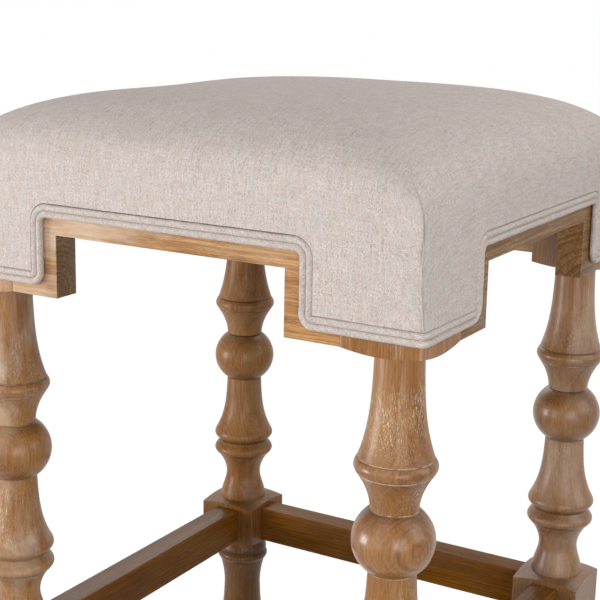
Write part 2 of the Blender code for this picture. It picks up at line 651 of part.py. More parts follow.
def make_cover():
    """Makes the fabric cover: a crowned shell whose lower edge steps up between the drops."""
    outer = crowned_block(COVER_OUTER, COVER_BOTTOM, SHOULDER, CROWN, SEAT_CORNER_RADIUS)
    inner = crowned_block(COVER_INNER, COVER_BOTTOM - CUT_OVERRUN, SHOULDER,
                          CROWN - COVER_THICKNESS)
    side = WELT_SIDE + WELT_TO_COVER
    top = WELT_BAND_LEVEL + WELT_TO_COVER
    bend = WELT_UPPER_BEND + WELT_TO_COVER
    outline = [(-side, COVER_BOTTOM - CUT_OVERRUN), (side, COVER_BOTTOM - CUT_OVERRUN)]
    outline += arc_points((side - bend, top - bend), bend, 0, 90, BEND_STEPS)
    outline += arc_points((bend - side, top - bend), bend, 90, 180, BEND_STEPS)
    reach = COVER_OUTER + CUT_OVERRUN
    return combined("seat_cover", to_mesh("cover_outside", outer), [
        ("DIFFERENCE", to_mesh("cover_inside", inner)),
        ("DIFFERENCE", to_mesh("notch_front_back", prism(outline, -reach, reach, "XZY"))),
        ("DIFFERENCE", to_mesh("notch_left_right", prism(outline, -reach, reach, "YZX"))),
    ])


def welt_stations():
    """Lays out the welt along the front, from its left bend to the front right corner.

    Each station is the middle of the welt's flat back, the direction in which it stands out and
    the direction across it, towards the cover.
    """
    back = -HALF_FRAME - FIT_GAP
    low, high, side = WELT_DROP_LEVEL, WELT_BAND_LEVEL, WELT_SIDE
    small, large = WELT_LOWER_BEND, WELT_UPPER_BEND
    outward = Vector((0, -1, 0))
    bends = (((-side - small, low + small), small, -90, 0, -1),
             ((-side + large, high - large), large, 180, 90, 1),
             ((side - large, high - large), large, 90, 0, 1),
             ((side + small, low + small), small, 180, 270, -1))
    stations = []
    for centre, radius, start, end, away in bends:
        for x, z in arc_points(centre, radius, start, end, BEND_STEPS):
            across = Vector((x - centre[0], 0, z - centre[1])).normalized() * away
            stations.append((Vector((x, back, z)), outward, across))
    pivot = Vector((HALF_FRAME, -HALF_FRAME, low))
    for step in range(CORNER_STEPS + 1):
        angle = math.pi / 2 * step / CORNER_STEPS
        turned_out = Vector((math.sin(angle), -math.cos(angle), 0))
        stations.append((pivot + turned_out * FIT_GAP, turned_out, Vector((0, 0, 1))))
    return stations


def welt_section():
    """Gives the welt's outline as (across, out) points: a flat back under two round cords."""
    radius = WELT_CORD_DIAMETER / 2
    points = [(radius, 0)]
    lobe = []
    for degrees in CORD_DEGREES:
        angle = math.radians(degrees)
        lobe.append((radius + radius * math.cos(angle), radius + radius * math.sin(angle)))
    points += lobe
    points.append((0, WELT_CORD_DIAMETER - WELT_VALLEY_DEPTH))
    points += [(-across, out) for across, out in reversed(lobe)]
    points.append((-radius, 0))
    return points


def make_welt():
    """Sweeps the double welt along the cover's whole lower edge, round all four sides."""
    shape = bmesh.new()
    section = welt_section()
    rings = []
    for quarter in range(len(SIDES)):
        turn = Matrix.Rotation(quarter * math.pi / 2, 3, "Z")
        for place, outward, across in welt_stations():
            rings.append([shape.verts.new(turn @ (place + across * aside + outward * out))
                          for aside, out in section])
    for index, ring in enumerate(rings):
        following = rings[(index + 1) % len(rings)]
        for corner in range(len(section)):
            beside = (corner + 1) % len(section)
            shape.faces.new((ring[corner], ring[beside], following[beside], following[corner]))
    return to_mesh("double_welt", shape)


def make_dust_cover():
    """Makes the dust cover under the board, cut off at the corner blocks."""
    inside = APRON_INNER - FIT_GAP
    cut = BLOCK_INNER - 2 * FIT_GAP - inside
    outline = []
    for across, along in ((1, 1), (-1, 1), (-1, -1), (1, -1)):
        beside = (across * inside, along * cut)
        above = (across * cut, along * inside)
        outline += [beside, above] if across * along > 0 else [above, beside]
    return to_mesh("dust_cover", prism(outline, APRON_TOP - DUST_COVER_THICKNESS, APRON_TOP))


def place_corner_pieces(stool):
    """Places the leg, glide, corner block and screws at each corner."""
    leg, block, glide = make_leg(), make_corner_block(), make_glide()
    head, direction, length = leg_screw_place()
    leg_screw = make_screw("leg_screw", length)
    seat_screw = make_screw("seat_screw", seat_screw_length())
    for quarter, corner in enumerate(CORNERS):
        turn = Matrix.Rotation(quarter * math.pi / 2, 4, "Z")
        for name, mesh, finish in (("leg", leg, WOOD), ("glide", glide, NYLON)):
            item = add_object(corner + "_" + name, mesh.copy(), finish, stool)
            item.matrix_world = turn @ Matrix.Translation((LEG_OFFSET, -LEG_OFFSET, 0))
        item = add_object(corner + "_corner_block", block.copy(), WOOD, stool)
        item.matrix_world = turn
        item = add_object(corner + "_leg_screw", leg_screw.copy(), STEEL, stool)
        aim = (-direction).to_track_quat("Z", "Y").to_matrix().to_4x4()
        item.matrix_world = turn @ Matrix.Translation(head) @ aim
        for number, place in enumerate(seat_screw_places(), 1):
            name = "{}_seat_screw_{}".format(corner, number)
            item = add_object(name, seat_screw.copy(), STEEL, stool)
            upside = Matrix.Rotation(math.pi, 4, "X")
            item.matrix_world = turn @ Matrix.Translation(place) @ upside


def place_side_pieces(stool):
    """Places the apron, its dowels and the stretcher on each side."""
    apron, stretcher, dowel = make_apron(), make_stretcher(), make_dowel()
    for quarter, side in enumerate(SIDES):
        turn = Matrix.Rotation(quarter * math.pi / 2, 4, "Z")
        item = add_object(side + "_apron", apron.copy(), WOOD, stool)
        item.matrix_world = turn
        item = add_object(side + "_stretcher", stretcher.copy(), WOOD, stool)
        item.matrix_world = turn @ Matrix.Translation((0, -LEG_OFFSET, STRETCHER_MIDDLE))
        places = [(end * HALF_SPAN, level) for end in (-1, 1) for level in DOWEL_HEIGHTS]
        for number, (x, level) in enumerate(places, 1):
            item = add_object("{}_apron_dowel_{}".format(side, number), dowel.copy(), WOOD, stool)
            item.matrix_world = turn @ Matrix.Translation((x, -APRON_MIDDLE, level))


def place_seat(stool):
    """Places the board, foam, cover, welt and dust cover."""
    add_object("seat_board", make_seat_board(), PLYWOOD, stool)
    add_object("seat_foam", make_foam(), FOAM, stool)
    add_object("seat_cover", make_cover(), FABRIC, stool)
    add_object("double_welt", make_welt(), FABRIC, stool)
    add_object("dust_cover", make_dust_cover(), CAMBRIC, stool)


def main():
    """Builds the stool."""
    clear_scene()
    stool = bpy.data.objects.new("stool", None)
    bpy.context.scene.collection.objects.link(stool)
    place_corner_pieces(stool)
    place_side_pieces(stool)
    place_seat(stool)


main()
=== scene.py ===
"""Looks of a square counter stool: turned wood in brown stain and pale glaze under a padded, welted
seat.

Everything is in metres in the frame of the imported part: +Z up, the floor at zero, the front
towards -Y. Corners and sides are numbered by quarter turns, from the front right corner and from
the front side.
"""

import json
import logging
import math
from dataclasses import dataclass, field
from enum import Enum
from typing import Any, Dict, List, Optional, Sequence, Tuple, Union

import bmesh
import bpy
import numpy as np
from mathutils import Matrix, Vector

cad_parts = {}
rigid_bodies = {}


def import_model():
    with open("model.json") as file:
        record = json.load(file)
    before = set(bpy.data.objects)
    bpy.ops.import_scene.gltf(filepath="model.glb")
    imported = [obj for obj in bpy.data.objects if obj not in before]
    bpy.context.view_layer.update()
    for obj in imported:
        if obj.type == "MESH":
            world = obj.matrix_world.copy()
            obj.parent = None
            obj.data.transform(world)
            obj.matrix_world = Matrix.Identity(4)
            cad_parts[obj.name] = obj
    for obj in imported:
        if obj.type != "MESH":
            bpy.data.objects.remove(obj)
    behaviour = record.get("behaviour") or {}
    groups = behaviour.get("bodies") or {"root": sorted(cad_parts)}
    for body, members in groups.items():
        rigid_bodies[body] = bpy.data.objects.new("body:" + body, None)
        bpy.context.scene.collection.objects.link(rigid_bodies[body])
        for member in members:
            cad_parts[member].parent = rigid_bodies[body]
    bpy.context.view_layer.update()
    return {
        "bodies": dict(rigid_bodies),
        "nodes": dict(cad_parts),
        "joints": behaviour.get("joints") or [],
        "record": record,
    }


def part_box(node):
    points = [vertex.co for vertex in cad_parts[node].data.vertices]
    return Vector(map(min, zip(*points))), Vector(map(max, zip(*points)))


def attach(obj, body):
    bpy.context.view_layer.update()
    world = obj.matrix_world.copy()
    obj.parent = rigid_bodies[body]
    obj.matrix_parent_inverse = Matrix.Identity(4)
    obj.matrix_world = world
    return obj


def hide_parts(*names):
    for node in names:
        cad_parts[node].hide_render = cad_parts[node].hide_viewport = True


LOG = logging.getLogger("counter_stool")
MM = 0.001
# The clearance between pieces that meet.
GAP = 0.3 * MM
# How wide an apron's drops are, and how far above their lower edge the band between them ends.
DROP = 46 * MM
NOTCH = 51 * MM
CORNERS = ("front_right", "back_right", "back_left", "front_left")
SIDES = ("front", "right", "back", "left")
Point2 = Tuple[float, float]
Point3 = Tuple[float, float, float]
Colour = Tuple[float, float, float]


def srgb(red: int, green: int, blue: int) -> Colour:
    """Turns a colour as a paint chart writes it into linear light.

    Args:
        red: Red from 0 to 255.
        green: Green from 0 to 255.
        blue: Blue from 0 to 255.

    Returns:
        The three linear values.
    """
    def linear(level: int) -> float:
        share = level / 255
        return share / 12.92 if share <= 0.04045 else ((share + 0.055) / 1.055) ** 2.4
    return linear(red), linear(green), linear(blue)


def quarter_turn(quarter: int) -> Matrix:
    """Gives the turn about the stool's middle that brings the first corner to another one."""
    return Matrix.Rotation(quarter * math.pi / 2, 4, "Z")


def smooth(share: Any) -> Any:
    """Eases a share, or an array of shares, in and out between 0 and 1."""
    return share * share * (3 - 2 * share)


def arc(centre: Point2, radius: float, start: float, end: float, steps: int) -> List[Point2]:
    """Gives evenly spaced points on an arc.

    Args:
        centre: The arc's centre.
        radius: Its radius.
        start: The first point's angle in degrees.
        end: The last point's angle in degrees.
        steps: How many steps lie between them.

    Returns:
        The points, one more than the steps.
    """
    angles = [math.radians(start + (end - start) * step / steps) for step in range(steps + 1)]
    return [(centre[0] + radius * math.cos(angle), centre[1] + radius * math.sin(angle))
            for angle in angles]


def circle(radius: float, sides: int) -> List[Point2]:
    """Gives evenly spaced points on a circle about the origin."""
    return arc((0.0, 0.0), radius, 0, 360, sides)[:-1]


# Materials


class Signal:
    """A value on its way through a material's nodes. Python sums on it add Math nodes."""

    def __init__(self, bench: "Bench", socket: bpy.types.NodeSocket) -> None:
        """Wraps an output socket.

        Args:
            bench: The bench whose material holds the socket.
            socket: The output socket.
        """
        self.bench = bench
        self.socket = socket

    def _math(self, operation: str, *values: "Value") -> "Signal":
        """Adds one Math node on these values."""
        return self.bench.node("ShaderNodeMath", {"operation": operation},
                               dict(enumerate(values)))

    def __add__(self, other: "Value") -> "Signal":
        """Adds a value."""
        return self._math("ADD", self, other)

    __radd__ = __add__

    def __sub__(self, other: "Value") -> "Signal":
        """Takes a value away."""
        return self._math("SUBTRACT", self, other)

    def __rsub__(self, other: "Value") -> "Signal":
        """Takes this signal away from a value."""
        return self._math("SUBTRACT", other, self)

    def __mul__(self, other: "Value") -> "Signal":
        """Multiplies by a value."""
        return self._math("MULTIPLY", self, other)

    __rmul__ = __mul__

    def __truediv__(self, other: "Value") -> "Signal":
        """Divides by a value."""
        return self._math("DIVIDE", self, other)

    def __pow__(self, power: "Value") -> "Signal":
        """Raises to a power."""
        return self._math("POWER", self, power)

    def sine(self) -> "Signal":
        """Gives the sine of this angle in radians."""
        return self._math("SINE", self)

    def fraction(self) -> "Signal":
        """Keeps what is left above the last whole number."""
        return self._math("FRACT", self)

    def larger(self, other: "Value") -> "Signal":
        """Gives the larger of the two."""
        return self._math("MAXIMUM", self, other)

    def between(self, low: float, high: float, first: float = 0.0, last: float = 1.0) -> "Signal":
        """Maps a stretch of values smoothly onto another one.

        Args:
            low: The value that gives first.
            high: The value that gives last.
            first: The result at low and below.
            last: The result at high and above.

        Returns:
            The mapped signal.
        """
        return self.bench.node(
            "ShaderNodeMapRange", {"interpolation_type": "SMOOTHSTEP"},
            {"Value": self, "From Min": low, "From Max": high, "To Min": first, "To Max": last})


Value = Union[Signal, float, int, Tuple[float, ...]]


class Bench:
    """Where the nodes of one material, or of the world, are put together."""

    def __init__(self, owner: Union[bpy.types.Material, bpy.types.World]) -> None:
        """Takes over the owner's nodes with their one shader.

        Args:
            owner: A new material or world.
        """
        owner.use_nodes = True
        self.owner = owner
        self.tree = owner.node_tree
        kind = "Principled BSDF" if isinstance(owner, bpy.types.Material) else "Background"
        self.shader = self.tree.nodes[kind]

    def node(self, kind: str, settings: Optional[Dict[str, Any]] = None,
             inputs: Optional[Dict[Union[str, int], Value]] = None,
             output: Union[str, int] = 0) -> Signal:
        """Adds a node.

        Args:
            kind: The node's type.
            settings: The node's own settings. A ramp's stops are pairs of place and colour.
            inputs: A value or a signal for each socket that isn't left as it comes.
            output: The socket to read.

        Returns:
            The signal at that socket.
        """
        made = self.tree.nodes.new(kind)
        for name, value in (settings or {}).items():
            if name == "stops":
                self._set_stops(made.color_ramp.elements, value)
            else:
                setattr(made, name, value)
        for key, value in (inputs or {}).items():
            self.feed(made.inputs[key], value)
        return Signal(self, made.outputs[output])

    @staticmethod
    def _set_stops(elements: Any, stops: Sequence[Tuple[float, Colour]]) -> None:
        """Sets a colour ramp's stops."""
        while len(elements) < len(stops):
            elements.new(1.0)
        for element, (place, colour) in zip(elements, stops):
            element.position = place
            element.color = (*colour, 1.0)

    def feed(self, socket: bpy.types.NodeSocket, value: Value) -> None:
        """Links a signal to a socket, or sets the socket's own value.

        Args:
            socket: The input socket.
            value: The signal or the value.
        """
        if isinstance(value, Signal):
            self.tree.links.new(value.socket, socket)
        elif isinstance(value, tuple) and socket.type == "RGBA" and len(value) == 3:
            socket.default_value = (*value, 1.0)
        else:
            socket.default_value = value

    def outputs(self, signal: Signal, names: Sequence[Union[str, int]]) -> List[Signal]:
        """Gives several outputs of the node that a signal comes from."""
        return [Signal(self, signal.socket.node.outputs[name]) for name in names]

    def place(self) -> Signal:
        """Gives the place on the piece, in metres."""
        return self.node("ShaderNodeTexCoord", output="Object")

    def parts(self, place: Signal) -> List[Signal]:
        """Splits a place into its three parts."""
        return self.outputs(self.node("ShaderNodeSeparateXYZ", inputs={0: place}), (0, 1, 2))

    def surface(self, **values: Value) -> None:
        """Feeds the shader, with underscores for the spaces in its sockets' names."""
        for name, value in values.items():
            self.feed(self.shader.inputs[name.replace("_", " ")], value)

    def noise(self, place: Value, scale: float, detail: float = 2.0,
              roughness: float = 0.5) -> Signal:
        """Gives cloudy noise about 0.5 at a place."""
        return self.node("ShaderNodeTexNoise", {"noise_dimensions": "3D"},
                         {"Vector": place, "Scale": scale, "Detail": detail,
                          "Roughness": roughness})

    def stretched(self, place: Signal, scales: Point3, shift: float) -> Signal:
        """Scales a place's three parts and shifts them, for noise that runs along one of them."""
        return self.node("ShaderNodeMapping", {"vector_type": "POINT"},
                         {"Vector": place, "Scale": scales,
                          "Location": (shift, shift * 0.7, shift * 1.3)})

    def blend(self, share: Value, first: Value, second: Value) -> Signal:
        """Mixes two colours."""
        return self.node("ShaderNodeMix", {"data_type": "RGBA", "blend_type": "MIX"},
                         {0: share, 6: first, 7: second}, output=2)

    def tint(self, colour: Value, by: Value) -> Signal:
        """Multiplies a colour by a grey level, which may pass one."""
        return self.node("ShaderNodeVectorMath", {"operation": "SCALE"},
                         {0: colour, "Scale": by})

    def relief(self, height: Signal, depth: float, strength: float) -> Signal:
        """Turns a height into a surface direction.

        Args:
            height: The height, from 0 to 1.
            depth: How deep 1 is, in metres.
            strength: How much of the relief is used.

        Returns:
            The direction for a Normal socket.
        """
        return self.node("ShaderNodeBump", inputs={"Height": height, "Distance": depth,
                                                   "Strength": strength})

    def own_value(self, name: str) -> Signal:
        """Reads a value that the mesh itself carries."""
        return self.node("ShaderNodeAttribute", {"attribute_name": name}, output="Fac")


@dataclass(frozen=True)
class Clouds:
    """A kind of cloudy noise in a finish.

    It has a scale for each axis and a shift that sets it apart from the others. Where it has a
    span, it rises from its least value at the span's first noise level to 1 at the second.
    """

    scales: Point3
    shift: float = 0.0
    detail: float = 2.0
    roughness: float = 0.5
    span: Optional[Point2] = None
    least: float = 0.0

    def over(self, bench: Bench, place: Signal, seed: float = 0.0) -> Signal:
        """Spreads the noise over a piece.

        Args:
            bench: The material's bench.
            place: The place in the wood or on the cloth.
            seed: The piece's own shift.

        Returns:
            The noise there.
        """
        clouds = bench.noise(bench.stretched(place, self.scales, seed + self.shift), 1.0,
                             self.detail, self.roughness)
        return clouds if self.span is None else clouds.between(*self.span, self.least)


class Grain(Enum):
    """The direction in which a piece's wood fibres run, as the order of its axes."""

    ALONG_X = (1, 2, 0)
    ALONG_Z = (0, 1, 2)


@dataclass(frozen=True)
class Knot:
    """A swirl in the grain: its middle, how far apart its lines are and how tall it is."""

    centre: Point3
    spacing: float
    tall: float


# The wood's own marks and the glaze's, with scales across the grain twice and then along it.
RING_WANDER = Clouds((13, 13, 4))
RING_STRAY = Clouds((70, 70, 9), 5)
FIBRES = Clouds((1500, 1500, 75), 3, 3.0, 0.70)
PORES = Clouds((1700, 1700, 130), 7, 2.0, 0.55, (0.58, 0.70))
STAIN_STREAKS = Clouds((430, 430, 13), 0, 3.0, 0.60, (0.30, 0.70))
STAIN_CLOUDS = Clouds((24, 24, 10), 11, 3.0, 0.55, (0.28, 0.72))
GLAZE_FILM = Clouds((30, 30, 9), 29, 4.0, 0.62, (0.41, 0.66), 0.05)
GLAZE_FLECKS = Clouds((2000, 2000, 260), 19, 3.0, 0.70, (0.52, 0.68))
GLAZE_STROKES = Clouds((1300, 1300, 75), 17, 2.0, 0.55, (0.58, 0.70))
GLAZE_PATCHES = Clouds((42, 42, 24), 23, 3.0, 0.60, (0.44, 0.66))
GLAZE_BREAKS = Clouds((150, 150, 40), 31, span=(0.36, 0.56), least=0.40)


@dataclass(frozen=True)
class GlazedWood:
    """Hardwood in a brown stain, with a pale glaze left in its pores, cuts and grooves.

    The heart is where the tree's middle lies beside the piece. Flecks, film and filled say how
    much glaze shows on open wood, over it and in the grooves. Ringed is how dark the growth rings
    are and ring how far apart they lie, and wander and stray are how far they bend in long and in
    short waves. Soak is how much stain the end grain takes, and streaked how much of the stain's
    change runs along the grain. What ends in cover is how thickly the glaze hides the stain there.
    """

    name: str
    grain: Grain
    heart: Point2
    seed: float
    flecks: float
    film: float
    ringed: float = 0.45
    ring: float = 2.6 * MM
    wander: float = 14 * MM
    stray: float = 2.2 * MM
    filled: float = 0.9
    soak: float = 0.40
    streaked: float = 0.30
    polish: float = 0.35
    roughness: float = 0.38
    gloss: float = 0.20
    knots: Tuple[Knot, ...] = ()
    # Scales the whole colour; the aprons and stretchers give each side its own value, as painted light
    # and shade.
    shade: float = 1.0
    dark: Colour = srgb(112, 66, 21)
    middle: Colour = srgb(148, 97, 43)
    light: Colour = srgb(173, 123, 66)
    burr: Colour = srgb(96, 52, 20)
    glaze: Colour = srgb(228, 212, 190)
    pore_shade: float = 0.30
    groove_soak: float = 0.62
    # How much the painted shade that a piece carries darkens it.
    painted_shade_strength: float = 0.50
    film_cover: float = 0.42
    fleck_cover: float = 0.48
    stroke_cover: float = 0.40
    groove_cover: float = 0.90
    edge_cover: float = 0.48
    coat_roughness: float = 0.22
    depth: float = 0.10 * MM

    def make(self) -> bpy.types.Material:
        """Builds the material.

        Returns:
            The finished material.
        """
        bench = Bench(bpy.data.materials.new(self.name))
        place = bench.place()
        parts = bench.parts(place)
        first, second, along = (parts[axis] for axis in self.grain.value)
        stock = bench.node("ShaderNodeCombineXYZ", inputs={0: first, 1: second, 2: along})
        late_wood = self._rings(bench, stock, first, second)
        fibres = FIBRES.over(bench, stock, self.seed)
        pores = PORES.over(bench, stock, self.seed)
        end_grain = bench.own_value("end_grain")
        groove = bench.own_value("filled")
        darker = late_wood * (end_grain * 0.66 + self.ringed)
        colour = self._stain(bench, stock, darker, fibres)
        for knot in self.knots:
            colour = bench.blend(self._swirl(bench, place, knot) * 0.65, colour, self.burr)
        # Stain taken up by end grain and open grooves, plus painted shade where the mesh carries it.
        soak_and_painted_shade = (end_grain * self.soak + groove * ((1.0 - self.filled) * self.groove_soak)
                  + bench.own_value("stained") * self.painted_shade_strength)
        colour = bench.tint(colour, (1.0 - pores * self.pore_shade) * (1.0 - soak_and_painted_shade) * self.shade)
        glaze = self._glaze(bench, stock, groove)
        colour = bench.blend(glaze, colour, self.glaze)
        relief = fibres * 0.30 + late_wood * 0.15 - pores * 0.35 + glaze * 0.15 + 0.4
        bench.surface(Base_Color=colour, Roughness=glaze * 0.20 + self.roughness,
                      Coat_Weight=bench.own_value("polished") * (1.0 - glaze * 0.6) * self.polish,
                      Normal=bench.relief(relief, self.depth, 0.7),
                      Specular_IOR_Level=self.gloss, Coat_Roughness=self.coat_roughness)
        return bench.owner

    def _rings(self, bench: Bench, stock: Signal, first: Signal, second: Signal) -> Signal:
        """Gives the growth rings about the tree's heart, from 0 in early wood to 1 in late wood."""
        wander = RING_WANDER.over(bench, stock, self.seed)
        stray = RING_STRAY.over(bench, stock, self.seed)
        across = first - self.heart[0] + (wander - 0.5) * self.wander
        beside = second - self.heart[1] + (stray - 0.5) * self.stray
        reach = (across * across + beside * beside) ** 0.5
        yearly = bench.noise(bench.node("ShaderNodeCombineXYZ", inputs={0: reach}), 120.0, 1.0)
        return (reach / self.ring + yearly * 2.0).fraction() ** 3.0

    def _swirl(self, bench: Bench, place: Signal, knot: Knot) -> Signal:
        """Gives a knot's dark lines, strongest near its middle.

        Args:
            bench: The material's bench.
            place: The place on the piece.
            knot: The knot.

        Returns:
            The lines, from 0 to 1.
        """
        away = bench.node("ShaderNodeVectorMath", {"operation": "SUBTRACT"},
                          {0: place, 1: knot.centre})
        squeezed = bench.node("ShaderNodeVectorMath", {"operation": "MULTIPLY"},
                              {0: away, 1: (1.0, 1.0, 1.0 / knot.tall)})
        reach = bench.node("ShaderNodeVectorMath", {"operation": "LENGTH"}, {0: squeezed},
                           output="Value")
        wobble = (bench.noise(place, 90.0, 2.0) - 0.5) * 0.35
        lines = (reach / knot.spacing + wobble + 0.5).fraction() ** 5.0
        return lines * reach.between(knot.spacing * 1.55, knot.spacing * 2.2, 1.0, 0.0)

    def _stain(self, bench: Bench, stock: Signal, darker: Signal, fibres: Signal) -> Signal:
        """Mixes the stain from the wood's own lighter and darker parts."""
        streaks = STAIN_STREAKS.over(bench, stock, self.seed)
        clouds = STAIN_CLOUDS.over(bench, stock, self.seed)
        level = (streaks * self.streaked + fibres.between(0.3, 0.7) * 0.34
                 + clouds * (0.66 - self.streaked))
        colour = bench.node("ShaderNodeValToRGB", {"stops": (
            (0.12, self.dark), (0.50, self.middle), (0.92, self.light))}, {0: level})
        return bench.blend(darker, colour, self.dark)

    def _glaze(self, bench: Bench, stock: Signal, groove: Signal) -> Signal:
        """Lays the pale glaze in the grooves, and as flecks and film on open wood.

        Args:
            bench: The material's bench.
            stock: The place in the wood, with the grain last.
            groove: 1 in the turned grooves.

        Returns:
            How much glaze covers the stain.
        """
        film, flecks, strokes, patches, breaks = (
            kind.over(bench, stock, self.seed)
            for kind in (GLAZE_FILM, GLAZE_FLECKS, GLAZE_STROKES, GLAZE_PATCHES, GLAZE_BREAKS))
        grit = bench.noise(stock, 1100.0, 2.0).between(0.30, 0.60, 0.35, 1.0)
        lines = groove * grit * breaks * (self.groove_cover * self.filled)
        edges = bench.own_value("worn") * grit * (self.edge_cover * self.filled)
        limed = bench.own_value("limed")
        open_wood = ((flecks * self.fleck_cover + strokes * self.stroke_cover)
                     * (patches * 0.60 + 0.15 + limed.between(1.0, 2.0) * 0.5)
                     * limed * self.flecks)
        film = film * bench.own_value("dusted") * (self.film * self.film_cover)
        return lines.larger(edges).larger(open_wood + film)


# The cloth's marks, with scales across and along its yarns.
WARP_YARNS = Clouds((2100.0, 520.0, 1.0), 1.7, 3.0, 0.72)
WEFT_YARNS = Clouds((560.0, 1900.0, 1.0), 5.3, 3.0, 0.72)
SLUBS = Clouds((640.0, 85.0, 1.0), 2.9)
WEFT_BARS = Clouds((75.0, 560.0, 1.0), 6.4)
CLOTH_SHADES = Clouds((36.0, 36.0, 1.0), 0, 3.0, 0.60)
ROSY_DRIFT = Clouds((200.0, 90.0, 1.0), 4.0, 2.0, 0.70, (0.50, 0.68))
OLIVE_DRIFT = Clouds((150.0, 70.0, 1.0), 8.0, 2.0, 0.70, (0.50, 0.68))
COOL_DRIFT = Clouds((180.0, 80.0, 1.0), 12.0, 2.0, 0.70, (0.50, 0.68))


@dataclass(frozen=True)
class MelangeCloth:
    """Oatmeal plain weave in which pale, grey and rosy brown yarns mix.

    The bias is the angle at which it is cut.
    """

    name: str
    bias: float = 0.0
    shade: float = 1.0
    pale: Colour = srgb(236, 226, 219)
    body: Colour = srgb(216, 203, 195)
    grey: Colour = srgb(192, 178, 170)
    deep: Colour = srgb(154, 138, 129)
    rosy: Colour = srgb(215, 190, 180)
    olive: Colour = srgb(204, 199, 184)
    cool: Colour = srgb(208, 206, 207)
    yarn: float = 0.62 * MM
    # How dark the painted shade in the seams' valleys and between the welt's cords is.
    seam_painted_shade: float = 0.30
    depth: float = 0.56 * MM

    def make(self) -> bpy.types.Material:
        """Builds the material.

        Returns:
            The finished material.
        """
        bench = Bench(bpy.data.materials.new(self.name))
        flat = bench.node("ShaderNodeUVMap", {"uv_map": "cloth"})
        turned = bench.node("ShaderNodeMapping", {"vector_type": "POINT"},
                            {"Vector": flat, "Rotation": (0.0, 0.0, self.bias)})
        across, along, _ = bench.parts(turned)
        count = math.pi / self.yarn
        wobble = (bench.noise(turned, 240.0, 2.0) - 0.5) * 1.8
        over = (across * count + wobble).sine() * (along * count + wobble).sine()
        warp_on_top = over.between(-0.6, 0.6)
        warp, weft, slubs, bars = (kind.over(bench, turned) for kind in (
            WARP_YARNS, WEFT_YARNS, SLUBS, WEFT_BARS))
        tone = (warp * warp_on_top + weft * (1.0 - warp_on_top)) * 0.78 + slubs * 0.14 + bars * 0.08
        colour = bench.node("ShaderNodeValToRGB", {"stops": (
            (0.37, self.deep), (0.447, self.grey), (0.512, self.body), (0.598, self.pale))}, {0: tone})
        colour = self._melange(bench, turned, colour)
        shade = CLOTH_SHADES.over(bench, turned).between(0.3, 0.7, 0.985, 1.015) * self.shade
        # Painted shade along the valleys of the corner seams and between the welt's cords.
        shade = shade * (1.0 - bench.own_value("seam") * self.seam_painted_shade)
        fuzz = bench.noise(turned, 2600.0, 2.0, 0.6)
        height = over.between(-1.0, 1.0) * 0.40 + fuzz * 0.40 + slubs * 0.20
        bench.surface(Base_Color=bench.tint(colour, shade), Roughness=0.92,
                      Normal=bench.relief(height, self.depth, 0.9),
                      Specular_IOR_Level=0.18, Sheen_Weight=0.12, Sheen_Roughness=0.5)
        return bench.owner

    def _melange(self, bench: Bench, turned: Signal, colour: Signal) -> Signal:
        """Drifts the colour to rosy, olive and cool where yarns of one dye lie together."""
        for dye, drift, share in ((self.rosy, ROSY_DRIFT, 0.37), (self.olive, OLIVE_DRIFT, 0.32),
                                  (self.cool, COOL_DRIFT, 0.33)):
            colour = bench.blend(drift.over(bench, turned) * share, colour, dye)
        return colour


# Streaks that run along X.
SAW_STREAKS = Clouds((30, 240, 240), 0, 4.0, 0.60)


@dataclass(frozen=True)
class BareWood:
    """Unfinished sawn wood inside the frame."""

    name: str
    colour: Colour
    plies: bool = False
    ply: float = 1.7 * MM
    depth: float = 0.15 * MM

    def make(self) -> bpy.types.Material:
        """Builds the material.

        Returns:
            The finished material.
        """
        bench = Bench(bpy.data.materials.new(self.name))
        place = bench.place()
        streaks = SAW_STREAKS.over(bench, place)
        colour = bench.tint(self.colour, streaks.between(0.25, 0.75, 0.80, 1.12))
        if self.plies:
            height = bench.parts(place)[2]
            plies = (height * (math.pi / self.ply)).sine().between(-0.25, 0.25, 0.82, 1.0)
            colour = bench.tint(colour, plies)
        bench.surface(Base_Color=colour, Roughness=0.78,
                      Normal=bench.relief(streaks, self.depth, 0.6))
        return bench.owner


@dataclass(frozen=True)
class PlainStuff:
    """Cambric, zinc-plated steel or nylon: one colour with a fine uneven surface."""

    name: str
    colour: Colour
    roughness: float
    metal: float = 0.0
    scale: float = 900.0
    depth: float = 0.05 * MM

    def make(self) -> bpy.types.Material:
        """Builds the material.

        Returns:
            The finished material.
        """
        bench = Bench(bpy.data.materials.new(self.name))
        place = bench.place()
        grit = bench.noise(place, self.scale, 3.0, 0.6)
        marks = bench.noise(place, self.scale * 0.06, 3.0, 0.6)
        colour = bench.tint(self.colour, marks.between(0.3, 0.7, 0.88, 1.1))
        bench.surface(Base_Color=colour, Metallic=self.metal,
                      Roughness=grit.between(0.2, 0.8, self.roughness * 0.85,
                                             min(1.0, self.roughness * 1.15)),
                      Normal=bench.relief(grit, self.depth, 0.6))
        return bench.owner


# Meshes


def finished_mesh(name: str, shape: bmesh.types.BMesh, sharp: float = 35.0) -> bpy.types.Mesh:
    """Turns a bmesh into a mesh that is smooth over gentle angles.

    Args:
        name: The mesh's name.
        shape: The bmesh, which is freed.
        sharp: The angle in degrees above which an edge stays crisp.

    Returns:
        The mesh.
    """
    bmesh.ops.recalc_face_normals(shape, faces=shape.faces)
    mesh = bpy.data.meshes.new(name)
    shape.to_mesh(mesh)
    shape.free()
    mesh.shade_smooth()
    mesh.set_sharp_from_angle(angle=math.radians(sharp))
    return mesh


def bridge(shape: bmesh.types.BMesh, rings: Sequence[Sequence[bmesh.types.BMVert]]) -> None:
    """Joins rings of vertices one after the other and closes the two ends.

    Args:
        shape: The bmesh that holds them.
        rings: The rings, all with the same number of vertices.
    """
    shape.faces.new(rings[0])
    shape.faces.new(rings[-1])
    for first, second in zip(rings, rings[1:]):
        for index in range(len(first)):
            after = (index + 1) % len(first)
            shape.faces.new((first[index], first[after], second[after], second[index]))


